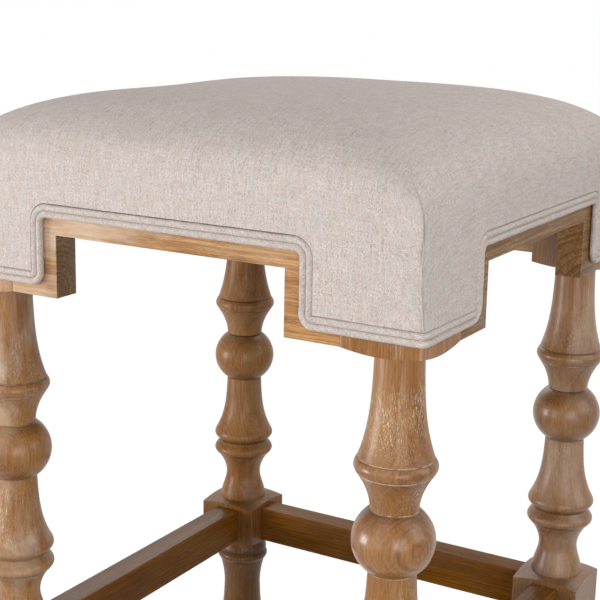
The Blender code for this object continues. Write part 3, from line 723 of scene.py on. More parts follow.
def prism(outline: Sequence[Point2], low: float, high: float, axes: str) -> bmesh.types.BMesh:
    """Extrudes a flat outline.

    Args:
        outline: The outline's points.
        low: Where the prism starts.
        high: Where the prism ends.
        axes: The outline's two axes, then the prism's.

    Returns:
        The closed prism.
    """
    shape = bmesh.new()
    order = [axes.index(axis) for axis in "XYZ"]
    bridge(shape, [[shape.verts.new([(first, second, depth)[axis] for axis in order])
                    for first, second in outline] for depth in (low, high)])
    return shape


def eased(shape: bmesh.types.BMesh, radius: float, steps: int = 3) -> bmesh.types.BMesh:
    """Rounds every edge that turns by more than a little.

    Args:
        shape: The bmesh to change.
        radius: The rounding.
        steps: Faces across the rounding.

    Returns:
        The same bmesh.
    """
    bmesh.ops.recalc_face_normals(shape, faces=shape.faces)
    edges = [edge for edge in shape.edges
             if len(edge.link_faces) == 2 and edge.calc_face_angle(0.0) > math.radians(30)]
    bmesh.ops.bevel(shape, geom=edges, offset=radius, segments=steps, profile=0.5,
                    affect="EDGES", clamp_overlap=True)
    return shape


def lathe(profile: Sequence[Point2], segments: int) -> bmesh.types.BMesh:
    """Revolves (radius, height) points about the Z axis and closes the ends.

    Args:
        profile: The points, from top to bottom.
        segments: Faces around.

    Returns:
        The closed turned shape.
    """
    shape = bmesh.new()
    bridge(shape, [[shape.verts.new((x, y, height)) for x, y in circle(radius, segments)]
                   for radius, height in profile])
    return shape


def placed(name: str, data: bpy.types.ID) -> bpy.types.Object:
    """Puts a mesh, a light or a camera into the scene as a new object."""
    item = bpy.data.objects.new(name, data)
    bpy.context.scene.collection.objects.link(item)
    return item


def applied(work: bpy.types.Object) -> bpy.types.Mesh:
    """Gives an object's mesh with its modifiers applied, and removes the object."""
    graph = bpy.context.evaluated_depsgraph_get()
    mesh = bpy.data.meshes.new_from_object(work.evaluated_get(graph))
    bpy.data.objects.remove(work)
    return mesh


def trimmed(name: str, mesh: bpy.types.Mesh, operation: str, tools: Sequence[bpy.types.Mesh],
            sharp: float) -> bpy.types.Mesh:
    """Cuts or trims a mesh with others.

    Args:
        name: The new mesh's name.
        mesh: The mesh to work on.
        operation: The Boolean operation.
        tools: The meshes to cut or trim with.
        sharp: The angle in degrees above which an edge stays crisp.

    Returns:
        What is left.
    """
    work = placed(name + "_work", mesh)
    helpers = [placed(name + "_tool", tool) for tool in tools]
    for helper in helpers:
        step = work.modifiers.new(operation.title(), "BOOLEAN")
        step.operation, step.object, step.solver = operation, helper, "EXACT"
    result = applied(work)
    for helper in helpers:
        bpy.data.objects.remove(helper)
    result.name = name
    result.materials.clear()
    result.shade_smooth()
    result.set_sharp_from_angle(angle=math.radians(sharp))
    return result


def give_values(mesh: bpy.types.Mesh, **values: Union[float, np.ndarray]) -> None:
    """Stores numbers that a finish can read.

    Args:
        mesh: The mesh.
        **values: For each name one number for each vertex, or one for all of them.
    """
    for name, numbers in values.items():
        layer = mesh.attributes.get(name) or mesh.attributes.new(name, "FLOAT", "POINT")
        layer.data.foreach_set("value", np.full(len(mesh.vertices), numbers, np.float32))


def vertex_array(mesh: bpy.types.Mesh, what: str = "co") -> np.ndarray:
    """Gives the vertices' places or directions, one in each row."""
    flat = np.zeros(len(mesh.vertices) * 3, np.float32)
    mesh.vertices.foreach_get(what, flat)
    return flat.reshape(-1, 3).astype(float)


def mark_squared(mesh: bpy.types.Mesh, worn: float, polished: float) -> None:
    """Marks a squared piece's rounded edges, where the finish rubs through, and its end grain.

    Args:
        mesh: The piece, whose grain runs along X.
        worn: How worn the edges are.
        polished: How glossy the faces are.
    """
    normals = np.abs(vertex_array(mesh, "normal"))
    give_values(mesh, worn=np.clip((1 - normals.max(axis=1)) / 0.22, 0, 1) * worn,
                end_grain=np.clip((normals[:, 0] - 0.5) / 0.3, 0, 1),
                filled=0.0, limed=1.0, dusted=1.0, polished=polished)


@dataclass
class Workshop:
    """Puts finished pieces into the scene, each in the place of its plain node."""

    pieces: int = 0

    def put(self, name: str, mesh: bpy.types.Mesh, finish: bpy.types.Material,
            stands_for: Sequence[str] = (), place: Optional[Matrix] = None) -> bpy.types.Object:
        """Adds a piece.

        Args:
            name: The piece's name.
            mesh: Its mesh.
            finish: Its material.
            stands_for: The plain nodes that it replaces.
            place: Where it stands, if not at the origin.

        Returns:
            The piece.
        """
        piece = placed(name, mesh)
        mesh.materials.clear()
        mesh.materials.append(finish)
        if place is not None:
            piece.matrix_world = place
        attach(piece, "root")
        if stands_for:
            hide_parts(*stands_for)
        self.pieces += 1
        LOG.info("%s: %d faces", name, len(mesh.polygons))
        return piece

    @staticmethod
    def paint(node: bpy.types.Object, finish: bpy.types.Material) -> None:
        """Gives a node of the frame its finish."""
        node.data.materials.clear()
        node.data.materials.append(finish)


# Wooden frame


class Form(Enum):
    """How a stretch of a turned leg runs from its upper end to its lower end."""

    FLARE = "flare"
    BEAD = "bead"
    COVE = "cove"
    BALL = "ball"
    BELL = "bell"


@dataclass(frozen=True)
class Stretch:
    """One stretch of a leg's turning: its height, the radius at its foot and its swell.

    The lean moves the swell's middle up or down, and the groove is cut that deep at the stretch's
    upper end. The glaze reaches its full amount at the share called shaded, below a smooth part
    that ends at the share called bare.
    """

    form: Form
    height: float
    radius: float
    swell: float = 0.0
    lean: float = 1.0
    groove: float = 0.0
    shaded: float = 0.12
    bare: float = 0.0

    def limed(self) -> float:
        """Gives how much glaze stays on the stretch: rough flares hold more than smooth balls."""
        return {Form.FLARE: 1.0, Form.BEAD: 0.35, Form.COVE: 0.55, Form.BALL: 0.10,
                Form.BELL: 0.55}[self.form]

    def polished(self) -> float:
        """Gives how glossy the stretch is: hands and rags reach the round parts best."""
        return {Form.FLARE: 0.22, Form.BEAD: 0.75, Form.COVE: 0.40, Form.BALL: 1.0,
                Form.BELL: 0.45}[self.form]

    def radius_at(self, share: float, start: float) -> float:
        """Gives the radius part of the way down.

        Args:
            share: How far down, from 0 to 1.
            start: The radius at the upper end.

        Returns:
            The radius there.
        """
        span = self.radius - start
        if self.form is Form.FLARE:
            return start + span * (0.20 * share + 0.80 * share ** 3.3)
        if self.form is Form.COVE:
            return start + span * (1 - (1 - share) ** 1.9)
        if self.form is Form.BELL:
            return start + span * smooth(share)
        if self.form is Form.BEAD:
            return start + span * share + self.swell * math.sin(math.pi * share ** self.lean)
        reach = math.sqrt(1 - (self.radius / self.swell) ** 2)
        return self.swell * math.sqrt(1 - (reach * (1 - 2 * share)) ** 2)


@dataclass(frozen=True)
class Smear:
    """Thicker glaze on a leg: its angle in degrees, its height, its size and how much it adds."""

    angle: float
    height: float
    size: float
    extra: float


@dataclass
class TurnedLegs:
    """The four legs, each turned from one square blank.

    The values whose names start with face say how the flat faces take the finish, and those that
    start with bare how the smooth upper part of a stretch does.
    """

    blank: float = 64 * MM
    neck: float = 18.3 * MM
    collar: float = 23.6 * MM
    pommel_slope: float = 0.24
    block: float = 38.4 * MM
    edge: float = 0.9 * MM
    groove_width: float = 0.75 * MM
    glazed_width: float = 0.40 * MM
    # Painted shade: the channel's width and darkness under the lower block's collar, the block's
    # darkness, and how far it reaches below the block and fades above it.
    channel_width: float = 2.8 * MM
    channel_painted_shade: float = 1.6
    block_painted_shade: float = 0.45
    painted_shade_reach: float = 9 * MM
    painted_shade_fade: float = 30 * MM
    edge_worn: float = 0.5
    bare_limed: float = 0.12
    bare_polished: float = 0.5
    face_limed: float = 0.60
    face_polished: float = 0.12
    face_dusted: float = 0.15
    dust_share: float = 0.8
    overrun: float = 10 * MM
    segments: int = 72
    pitch: float = 1.3 * MM
    upper: Tuple[Stretch, ...] = (
        Stretch(Form.FLARE, 77.7 * MM, 28.6 * MM, shaded=0.32, bare=0.15),
        Stretch(Form.BEAD, 11.8 * MM, 28.8 * MM, 2.5 * MM, 1.0, 0.7 * MM),
        Stretch(Form.COVE, 28.0 * MM, 18.3 * MM, groove=0.6 * MM),
        Stretch(Form.BALL, 48.8 * MM, 18.3 * MM, 31.5 * MM, groove=0.5 * MM),
        Stretch(Form.FLARE, 59.7 * MM, 30.4 * MM, groove=0.5 * MM),
        Stretch(Form.BEAD, 11.0 * MM, 25.5 * MM, 3.0 * MM),
        Stretch(Form.BEAD, 16.8 * MM, 26.6 * MM, 5.2 * MM, 1.25, 0.5 * MM),
        Stretch(Form.COVE, 21.2 * MM, 18.3 * MM, groove=0.5 * MM),
        Stretch(Form.BELL, 28.1 * MM, 24.3 * MM),
    )
    lower: Tuple[Stretch, ...] = (
        Stretch(Form.BELL, 12.0 * MM, 26.4 * MM),
        Stretch(Form.COVE, 3.4 * MM, 25.2 * MM),
        Stretch(Form.BEAD, 10.4 * MM, 24.4 * MM, 2.7 * MM, 0.85),
        Stretch(Form.COVE, 29.0 * MM, 19.9 * MM, groove=0.4 * MM),
        Stretch(Form.FLARE, 52.0 * MM, 28.4 * MM),
        Stretch(Form.BEAD, 15.0 * MM, 25.6 * MM, 3.8 * MM, 1.0, 0.5 * MM),
        Stretch(Form.COVE, 15.0 * MM, 20.0 * MM, groove=0.4 * MM),
    )
    woods: Tuple[GlazedWood, ...] = (
        GlazedWood("front_right_leg_wood", Grain.ALONG_Z, heart=(-0.052, 0.027), seed=0.0,
                   flecks=1.0, film=0.22, filled=0.95, polish=0.58, gloss=0.22, shade=1.02,
                   knots=(Knot((0.0270, -0.0156, 0.352), 10.5 * MM, 1.1),
                          Knot((0.0260, -0.0169, 0.408), 10.0 * MM, 0.7))),
        GlazedWood("back_right_leg_wood", Grain.ALONG_Z, heart=(0.045, -0.050), seed=3.7,
                   flecks=0.90, film=0.66, filled=0.20, polish=0.30, gloss=0.38, shade=0.82),
        GlazedWood("back_left_leg_wood", Grain.ALONG_Z, heart=(-0.040, -0.058), seed=7.4,
                   flecks=0.30, film=0.34, filled=0.10, polish=0.18, gloss=0.16, shade=0.88),
        GlazedWood("front_left_leg_wood", Grain.ALONG_Z, heart=(0.062, 0.020), seed=13.3,
                   flecks=1.5, film=1.45, filled=0.60, polish=0.24, gloss=0.30, shade=1.10),
    )
    smears: Tuple[Smear, ...] = (
        Smear(-105, 443 * MM, 13 * MM, 0.9), Smear(-15, 459 * MM, 12 * MM, 1.1),
        Smear(-12, 395 * MM, 9 * MM, 1.2), Smear(-75, 432 * MM, 15 * MM, 0.2))
    grooves: List[Tuple[float, float]] = field(default_factory=list)
    surfaces: List[Tuple[float, float, float]] = field(default_factory=list)

    def __post_init__(self) -> None:
        """Reads the leg's two ends from its node."""
        low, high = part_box("front_right_leg")
        self.foot, self.top = low.z, high.z
        self.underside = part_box("front_apron")[0].z
        self.axis = (low.x + high.x) / 2
        self.corner = self.blank / 2 * math.sqrt(2)

    def _turn(self, run: Sequence[Stretch], radius: float, level: float) -> List[Point2]:
        """Gives the fine profile of a run of stretches and notes its grooves.

        Args:
            run: The stretches, downwards.
            radius: The radius at the top.
            level: The height of the top.

        Returns:
            Points of (radius, height).
        """
        points: List[Point2] = []
        for stretch in run:
            if stretch.groove:
                self.grooves.append((level, stretch.groove))
            if stretch.bare:
                self.surfaces.append((level - stretch.height * stretch.bare, self.bare_limed,
                                      self.bare_polished))
            for share in (stretch.shaded, 0.9):
                self.surfaces.append((level - stretch.height * share, stretch.limed(),
                                      stretch.polished()))
            steps = max(4, round(stretch.height / self.pitch))
            shares = [step / steps for step in range(1, steps + 1)]
            if stretch.form is Form.BALL:
                shares = [(1 - math.cos(math.pi * share)) / 2 for share in shares]
            points += [(stretch.radius_at(share, radius), level - stretch.height * share)
                       for share in shares]
            radius, level = stretch.radius, level - stretch.height
        return points

    def profile(self) -> List[Point2]:
        """Gives the whole leg's turned profile, wide where the blank stays square."""
        wide = self.corner * 1.03
        rise = self.pommel_slope * (wide - self.corner)
        neck_level = self.underside - self.pommel_slope * (self.corner - self.neck)
        points = [(wide, self.top), (wide, self.underside + rise), (self.neck, neck_level)]
        points += self._turn(self.upper, self.neck, neck_level)
        block_top = points[-1][1] - self.pommel_slope * (self.corner - points[-1][0])
        block_foot = block_top - self.block
        points += [(wide, block_top - rise), (wide, block_foot + rise)]
        collar_level = block_foot - self.pommel_slope * (self.corner - self.collar)
        points.append((self.collar, collar_level))
        self.channel = collar_level - self.lower[0].height - self.lower[1].height / 2
        points += self._turn(self.lower, self.collar, collar_level)
        points[-1] = (points[-1][0], self.foot)
        self.block_levels = (block_top, block_foot)
        return self._with_grooves(points)

    def _with_grooves(self, points: List[Point2]) -> List[Point2]:
        """Cuts a small V at each groove, with extra points so that it is crisp."""
        levels = sorted({height for _, height in points}, reverse=True)
        width = self.groove_width
        for level, _ in self.grooves:
            levels += [level + width * step for step in (-1.6, -1.0, -0.5, 0.0, 0.5, 1.0, 1.6)]
        heights = np.array([height for _, height in points])
        radii = np.array([radius for radius, _ in points])
        fine = []
        for height in sorted(set(levels), reverse=True):
            radius = float(np.interp(-height, -heights, radii))
            for level, depth in self.grooves:
                radius -= depth * max(0.0, 1 - abs(height - level) / width)
            fine.append((radius, height))
        return fine

    def make(self) -> bpy.types.Mesh:
        """Turns the leg out of its square blank and marks where glaze stays and where it wears.

        Returns:
            The leg's mesh, with its axis on the Z axis.
        """
        turning = finished_mesh("leg_turning", lathe(self.profile(), self.segments))
        half, cut = self.blank / 2, self.edge
        outline = []
        for corner in range(4):
            turn = Matrix.Rotation(corner * math.pi / 2, 2)
            rounded = arc((half - cut, half - cut), cut, 0, 90, 3)
            for point in [(half, half - 3 * cut)] + rounded + [(half - 3 * cut, half)]:
                outline.append(tuple(turn @ Vector(point)))
        square = prism(outline, self.foot - self.overrun, self.top + self.overrun, "XYZ")
        leg = trimmed("turned_leg", turning, "INTERSECT", [finished_mesh("leg_square", square)], 32)
        self._mark(leg)
        return leg

    def _mark(self, leg: bpy.types.Mesh) -> None:
        """Marks glaze, dust, polish, end grain and worn edges on the leg, and painted shade about its
        lower block.
        """
        places = vertex_array(leg)
        heights = places[:, 2]
        filled = np.zeros(len(places))
        for level, _ in self.grooves:
            filled = np.maximum(filled, np.exp(-((heights - level) / self.glazed_width) ** 2))
        reach = np.abs(places[:, :2]).max(axis=1)
        corner = np.abs(places[:, :2]).min(axis=1)
        on_face = reach > self.blank / 2 - 0.05 * MM
        on_edge = (reach + corner > self.blank - 1.9 * self.edge) & (corner > self.blank * 0.4)
        levels, limed, polished = (np.array(column) for column in zip(*sorted(self.surfaces)))
        tilt = np.abs(vertex_array(leg, "normal")[:, 2])
        limed, polished = np.interp(heights, levels, limed), np.interp(heights, levels, polished)
        block_top, block_foot = self.block_levels
        # Painted shade: full below the lower block, lighter on the block, fading out above it.
        stained = np.interp(
            heights, (block_foot - self.painted_shade_reach, block_foot, block_top,
                      block_top + self.painted_shade_reach, block_top + self.painted_shade_fade),
            (1.0, self.block_painted_shade, self.block_painted_shade, 0.2, 0.0))
        # Painted shade in the channel under the block's collar.
        in_channel = np.exp(-((heights - self.channel) / self.channel_width) ** 2)
        stained = np.maximum(stained, self.channel_painted_shade * in_channel)
        # Less glaze film lies where the painted shade is.
        dusted = (1 - self.dust_share * polished) * (1 - self.dust_share * np.minimum(stained, 1))
        give_values(leg, filled=np.where(on_face, 0.0, filled), stained=stained,
                    worn=np.where(on_edge, self.edge_worn, 0.0),
                    limed=np.where(on_face, self.face_limed, limed),
                    polished=np.where(on_face, self.face_polished, polished),
                    end_grain=np.where(on_face, 0.0, np.clip((tilt - 0.50) / 0.40, 0, 1)),
                    dusted=np.where(on_face, self.face_dusted, dusted))

    def _smear(self, leg: bpy.types.Mesh) -> None:
        """Leaves thicker glaze in a few places of one leg.

        Args:
            leg: That leg's mesh.
        """
        places = vertex_array(leg)
        limed = np.zeros(len(places), np.float32)
        leg.attributes["limed"].data.foreach_get("value", limed)
        angles = np.arctan2(places[:, 1], places[:, 0])
        radii = np.hypot(places[:, 0], places[:, 1])
        for smear in self.smears:
            turn = (angles - math.radians(smear.angle) + math.pi) % (2 * math.pi) - math.pi
            away = np.hypot(turn * radii, (places[:, 2] - smear.height) * 0.6) / smear.size
            limed += smear.extra * np.exp(-away ** 2)
        give_values(leg, limed=limed)

    def build(self, shop: Workshop) -> None:
        """Places the four legs.

        Args:
            shop: The workshop.
        """
        pattern = self.make()
        for quarter, corner in enumerate(CORNERS):
            leg = pattern.copy()
            if quarter == 0:
                self._smear(leg)
            place = quarter_turn(quarter) @ Matrix.Translation((self.axis, -self.axis, 0))
            shop.put("turned_" + corner + "_leg", leg, self.woods[quarter].make(),
                     [corner + "_leg"], place)


@dataclass
class SteppedAprons:
    """The four apron boards, with a drop at each end and a raised band between.

    Dust is how much of the glaze's film a board keeps at places along its run. The values of the
    finish are in the order of the sides.
    """

    edge: float = 0.5 * MM
    sunk: float = 0.6 * MM
    slices: Tuple[float, ...] = (-60 * MM, 0.0, 60 * MM)
    dust: Tuple[Point2, ...] = ((-60 * MM, 1.0), (60 * MM, 0.45), (110 * MM, 0.06))
    film: Tuple[float, ...] = (1.15, 0.04, 0.35, 0.35)
    # Painted light and shade for each side: the front board is painted lighter, the right board darker
    # as if in the welt's shadow.
    painted_light_by_side: Tuple[float, ...] = (1.33, 0.67, 1.0, 1.0)
    # End grain takes up more stain; on the right board a negative value paints the end faces lighter,
    # as painted light.
    end_soak_and_light: Tuple[float, ...] = (0.50, -0.24, 0.42, 0.42)
    gloss: Tuple[float, ...] = (0.18, 0.06, 0.2, 0.2)
    rings: Tuple[float, ...] = (4.0 * MM, 6.6 * MM, 4.5 * MM, 5.0 * MM)
    hearts: Tuple[Point2, ...] = ((-0.215, 0.505), (-0.228, 0.482), (-0.190, 0.490), (-0.200, 0.470))

    def make(self) -> bpy.types.Mesh:
        """Cuts the front apron from its board.

        Returns:
            The apron's mesh, in place.
        """
        low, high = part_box("front_apron")
        end = high.x + self.sunk
        inner = high.x - DROP + GAP
        step = low.z + NOTCH
        outline = [(-end, low.z), (-inner, low.z), (-inner, step), (inner, step),
                   (inner, low.z), (end, low.z), (end, high.z), (-end, high.z)]
        board = eased(prism(outline, low.y, high.y, "XZY"), self.edge)
        bmesh.ops.triangulate(board, faces=[face for face in board.faces if len(face.verts) > 4])
        for slice_at in self.slices:
            bmesh.ops.bisect_plane(board, geom=board.verts[:] + board.edges[:] + board.faces[:],
                                   plane_co=(slice_at, 0, 0), plane_no=(1, 0, 0))
        mesh = finished_mesh("stepped_apron", board, 40)
        mark_squared(mesh, 1.0, 0.15)
        ends = np.abs(vertex_array(mesh, "normal")[:, 0]) > 0.9
        dusted = np.interp(vertex_array(mesh)[:, 0], *zip(*self.dust))
        give_values(mesh, dusted=np.where(ends, 0, dusted))
        return mesh

    def build(self, shop: Workshop) -> None:
        """Places the four aprons.

        Args:
            shop: The workshop.
        """
        board = self.make()
        for quarter, side in enumerate(SIDES):
            finish = GlazedWood(
                side + "_apron_wood", Grain.ALONG_X, heart=self.hearts[quarter],
                seed=31.0 + 5.3 * quarter, flecks=1.1, film=self.film[quarter], ringed=0.5,
                ring=self.rings[quarter], soak=self.end_soak_and_light[quarter], streaked=0.46,
                shade=self.painted_light_by_side[quarter], gloss=self.gloss[quarter], dark=srgb(108, 68, 28),
                middle=srgb(156, 110, 62), light=srgb(192, 150, 102))
            shop.put("stepped_" + side + "_apron", board.copy(), finish.make(),
                     [side + "_apron"], quarter_turn(quarter))


@dataclass
class Footrest:
    """The box of four stretchers between the legs' lower blocks.

    A bar is wider and taller at each side than its node by these values, and lies higher by the
    third. The values of the finish are in the order of the sides.
    """

    edge: float = 2.6 * MM
    wider: float = 0.5 * MM
    taller: float = 1.5 * MM
    higher: float = 0.3 * MM
    # Painted light for each side: the back bar is painted lighter, as if light fell under the stool
    # onto it.
    painted_light_by_side: Tuple[float, ...] = (1.0, 1.0, 1.18, 1.02)
    polish: Tuple[float, ...] = (0.36, 0.36, 0.15, 0.36)

    def make(self) -> bpy.types.Mesh:
        """Rounds the front stretcher's edges between its two shoulders; feet polish its top.

        Returns:
            The stretcher's mesh, with its own middle at the origin.
        """
        low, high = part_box("front_stretcher")
        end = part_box("front_right_leg")[0].x - GAP
        half_width = (high.y - low.y) / 2 + self.wider
        half_height = (high.z - low.z) / 2 + self.taller
        outline = []
        for corner, (aside, up) in enumerate(((1, 1), (-1, 1), (-1, -1), (1, -1))):
            centre = ((half_width - self.edge) * aside, (half_height - self.edge) * up)
            outline += arc(centre, self.edge, 90 * corner, 90 * corner + 90, 5)
        mesh = finished_mesh("stretcher_bar", prism(outline, -end, end, "YZX"), 30)
        mark_squared(mesh, 0.0, 0.0)
        give_values(mesh, polished=np.clip(vertex_array(mesh, "normal")[:, 2], 0, 1))
        return mesh

    def build(self, shop: Workshop) -> None:
        """Places the four stretchers.

        Args:
            shop: The workshop.
        """
        low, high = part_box("front_stretcher")
        bar = self.make()
        centre = Matrix.Translation((0, (low.y + high.y) / 2, (low.z + high.z) / 2 + self.higher))
        for quarter, side in enumerate(SIDES):
            finish = GlazedWood(
                side + "_stretcher_wood", Grain.ALONG_X, heart=(0.035, -0.050 + 0.008 * quarter),
                seed=53.0 + 4.1 * quarter, flecks=0.08, film=0.05, ringed=0.35,
                polish=self.polish[quarter], roughness=0.42, gloss=0.05,
                shade=self.painted_light_by_side[quarter], dark=srgb(92, 52, 8), middle=srgb(126, 77, 14),
                light=srgb(154, 99, 25))
            shop.put("rounded_" + side + "_stretcher", bar.copy(), finish.make(),
                     [side + "_stretcher"], quarter_turn(quarter) @ centre)


# Seat


# How much of each side's wood shows beside the welt, at its left and its right drop.
HEM_ENDS = ((11.0 * MM, 14.5 * MM), (20.0 * MM, 14.5 * MM), (14.5 * MM, 14.5 * MM),
            (14.5 * MM, 14.5 * MM))


@dataclass
class PaddedSeat:
    """The crowned pad and its cloth, pulled down over the frame and sewn at the corners.

    Levels and heights count from the drops' lower edge. Folds and seams are pairs of a level and
    how far the fold or the seam has moved in there, both in millimetres. The crown sinks beside
    the left side, and where it starts to, how fast and how far along are shares of the half width.
    The cloth's rows are finest at the corners. It settles by no more than its cap, not at all
    within the still reach of a corner and freely past the free reach.
    """

    shoulder: float = 100 * MM
    crown: float = 161.7 * MM
    power: float = 3.72
    rounding: float = 0.32
    sink: float = 4.1 * MM
    sink_start: float = 0.10
    sink_width: float = 0.50
    sink_length: float = 0.59
    corner: float = 3.6 * MM
    hem: float = 20.9 * MM
    notch_reach: float = 116.3 * MM
    notch_top: float = 76.7 * MM
    notch_bend: float = 16.2 * MM
    thickness: float = 2.6 * MM
    overrun: float = 50 * MM
    skirt_rows: int = 26
    folds: Tuple[Point2, ...] = (
        (10, 0.3), (24, 1.2), (36, 2.2), (49, 3.0), (63, 3.1), (72, 3.1), (93, 3.3), (102, 4.4),
        (108, 5.6), (113, 7.0), (118, 8.4), (126, 9.8), (150, 9.8))
    fold_right: float = 70 * MM
    fold_front: float = 105 * MM
    seams: Tuple[Point2, ...] = (
        (24, 1.8), (40, 2.5), (53, 3.6), (63, 3.2), (72, 2.2), (83, 1.0), (93, 0.3))
    seam_top: float = 134 * MM
    seam_fade: float = 18 * MM
    seam_depth: float = 1.2 * MM
    seam_width: float = 0.6 * MM
    seam_low: float = 0.22
    seam_high: float = 0.42
    high_start: float = 60 * MM
    high_reach: float = 22 * MM
    ridge: float = 0.5 * MM
    ridge_aside: float = 1.5 * MM
    ridge_width: float = 0.7 * MM
    finest_step: float = 0.32 * MM
    widest_step: float = 6 * MM
    fine_reach: float = 6.5 * MM
    step_growth: float = 1.14
    settle_cap: float = 0.6 * MM
    settle_frames: int = 14
    held_margin: float = 6 * MM
    still_reach: float = 8 * MM
    free_reach: float = 45 * MM

    def __post_init__(self) -> None:
        """Reads the drops' lower edge and the pad's outer size from their nodes."""
        self.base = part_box("front_apron")[0].z
        self.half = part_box("seat_cover")[1].x

    def _rounded(self, x: float, y: float) -> Point2:
        """Moves a point near a corner of the square onto the corner's round."""
        inner = self.half - self.corner
        over_x, over_y = abs(x) - inner, abs(y) - inner
        if over_x <= 0 or over_y <= 0:
            return x, y
        scale = max(over_x, over_y) / math.hypot(over_x, over_y)
        return (math.copysign(inner + over_x * scale, x), math.copysign(inner + over_y * scale, y))

    def _level(self, across: float, along: float) -> float:
        """Gives the crown's height at shares of the way out; it sinks beside the left side."""
        fall = max((1 - abs(across) ** self.power) * (1 - abs(along) ** self.power), 0.0)
        beside = min(max((-across - self.sink_start) / self.sink_width, 0.0), 1.0)
        sunk = self.sink * smooth(beside) * math.exp(-(along / self.sink_length) ** 2)
        rise = self.crown - self.shoulder - sunk
        return self.base + self.shoulder + rise * fall ** self.rounding

    def _marks(self) -> List[float]:
        """Spaces the cloth's rows: close together at the sewn corners, wider in the middle."""
        marks, step = [0.0], self.finest_step
        while marks[-1] < self.half:
            marks.append(marks[-1] + step)
            if marks[-1] > self.fine_reach:
                step = min(step * self.step_growth, self.widest_step)
        inward = [mark / marks[-1] - 1 for mark in marks]
        return inward + [-share for share in reversed(inward[:-1])]

    def cloth(self) -> bpy.types.Mesh:
        """Lays the cloth over the crown and down the four sides, with its yarns' directions.

        Returns:
            The open cloth, with its hem at the drops' level.
        """
        shares = self._marks()
        count = len(shares) - 1
        top = np.zeros((count + 1, count + 1, 3))
        for i, across in enumerate(shares):
            for j, along in enumerate(shares):
                x, y = self._rounded(across * self.half, along * self.half)
                top[i, j] = (x, y, self._level(across, along))
        flat_u = self._paced(top)
        flat_v = self._paced(top.transpose(1, 0, 2)).T
        shape = bmesh.new()
        layer = shape.loops.layers.uv.new("cloth")
        verts = [[shape.verts.new(top[i, j]) for j in range(count + 1)] for i in range(count + 1)]
        for i in range(count):
            for j in range(count):
                corners = ((i, j), (i + 1, j), (i + 1, j + 1), (i, j + 1))
                face = shape.faces.new([verts[a][b] for a, b in corners])
                for loop, (a, b) in zip(face.loops, corners):
                    loop[layer].uv = (flat_u[a, b], flat_v[a, b])
        self._skirts(shape, layer, verts, flat_u, flat_v)
        return finished_mesh("seat_cloth", shape, 180)

    @staticmethod
    def _paced(top: np.ndarray) -> np.ndarray:
        """Measures along the cloth from its middle line, in metres, for each grid point."""
        steps = np.linalg.norm(np.diff(top, axis=0), axis=2)
        run = np.vstack([np.zeros(top.shape[1]), np.cumsum(steps, axis=0)])
        middle = top.shape[0] // 2
        return run - run[middle]

    def _skirts(self, shape: bmesh.types.BMesh, layer: Any,
                verts: List[List[bmesh.types.BMVert]], flat_u: np.ndarray,
                flat_v: np.ndarray) -> None:
        """Hangs the four sides from the rim of the crown."""
        last = len(verts) - 1
        runs = ([((i, 0), (0, -1)) for i in range(last + 1)],
                [((last, j), (1, 0)) for j in range(last + 1)],
                [((last - i, last), (0, 1)) for i in range(last + 1)],
                [((0, last - j), (-1, 0)) for j in range(last + 1)])
        depth = self.shoulder - self.hem
        columns: Dict[Tuple[int, int], List[bmesh.types.BMVert]] = {}
        for run in runs:
            for (i, j), _ in run:
                if (i, j) in columns:
                    continue
                head = verts[i][j]
                columns[(i, j)] = [head] + [
                    shape.verts.new((head.co.x, head.co.y,
                                     head.co.z - depth * step / self.skirt_rows))
                    for step in range(1, self.skirt_rows + 1)]
        for run in runs:
            for (first, away), (second, _) in zip(run, run[1:]):
                left, right = columns[first], columns[second]
                for row in range(self.skirt_rows):
                    face = shape.faces.new((left[row], left[row + 1], right[row + 1], right[row]))
                    for loop, (key, step) in zip(face.loops, ((first, row), (first, row + 1),
                                                              (second, row + 1), (second, row))):
                        down = depth * step / self.skirt_rows
                        loop[layer].uv = (flat_u[key] + away[0] * down,
                                          flat_v[key] + away[1] * down)

    def settle(self, mesh: bpy.types.Mesh) -> None:
        """Lets the cloth settle over the pad: air pressure stands for the foam.

        Args:
            mesh: The cloth, which keeps its hem and gets the settled shape.
        """
        work = placed("cloth_work", mesh)
        start = vertex_array(mesh)
        held = work.vertex_groups.new(name="held")
        low = self.base + self.notch_top + self.held_margin
        held.add([index for index, place in enumerate(start) if place[2] < low], 1.0, "REPLACE")
        cloth = work.modifiers.new("Cloth", "CLOTH")
        settings = cloth.settings
        settings.quality = 6
        settings.mass = 0.3
        settings.tension_stiffness = settings.compression_stiffness = 40
        settings.shear_stiffness = 20
        settings.bending_stiffness = 8
        settings.air_damping = 6
        settings.use_pressure = True
        settings.uniform_pressure_force = 3.0
        settings.vertex_group_mass = "held"
        settings.effector_weights.gravity = 0
        cloth.collision_settings.use_collision = False
        cloth.point_cache.frame_start, cloth.point_cache.frame_end = 1, self.settle_frames
        scene = bpy.context.scene
        for frame in range(1, self.settle_frames + 1):
            scene.frame_set(frame)
        graph = bpy.context.evaluated_depsgraph_get()
        moved = vertex_array(work.evaluated_get(graph).to_mesh()) - start
        reach = np.linalg.norm(moved, axis=1)
        corner = self.half - np.abs(start[:, :2]).min(axis=1)
        free = smooth(np.clip((corner - self.still_reach) / self.free_reach, 0, 1))
        capped = np.tanh(reach / self.settle_cap) * self.settle_cap
        moved *= (capped / np.maximum(reach, 1e-9) * free)[:, None]
        bpy.data.objects.remove(work)
        scene.frame_set(1)
        LOG.info("the cloth settled by %.2f mm at most", float(reach.max()) / MM)
        mesh.vertices.foreach_set("co", (start + moved).astype(np.float32).ravel())

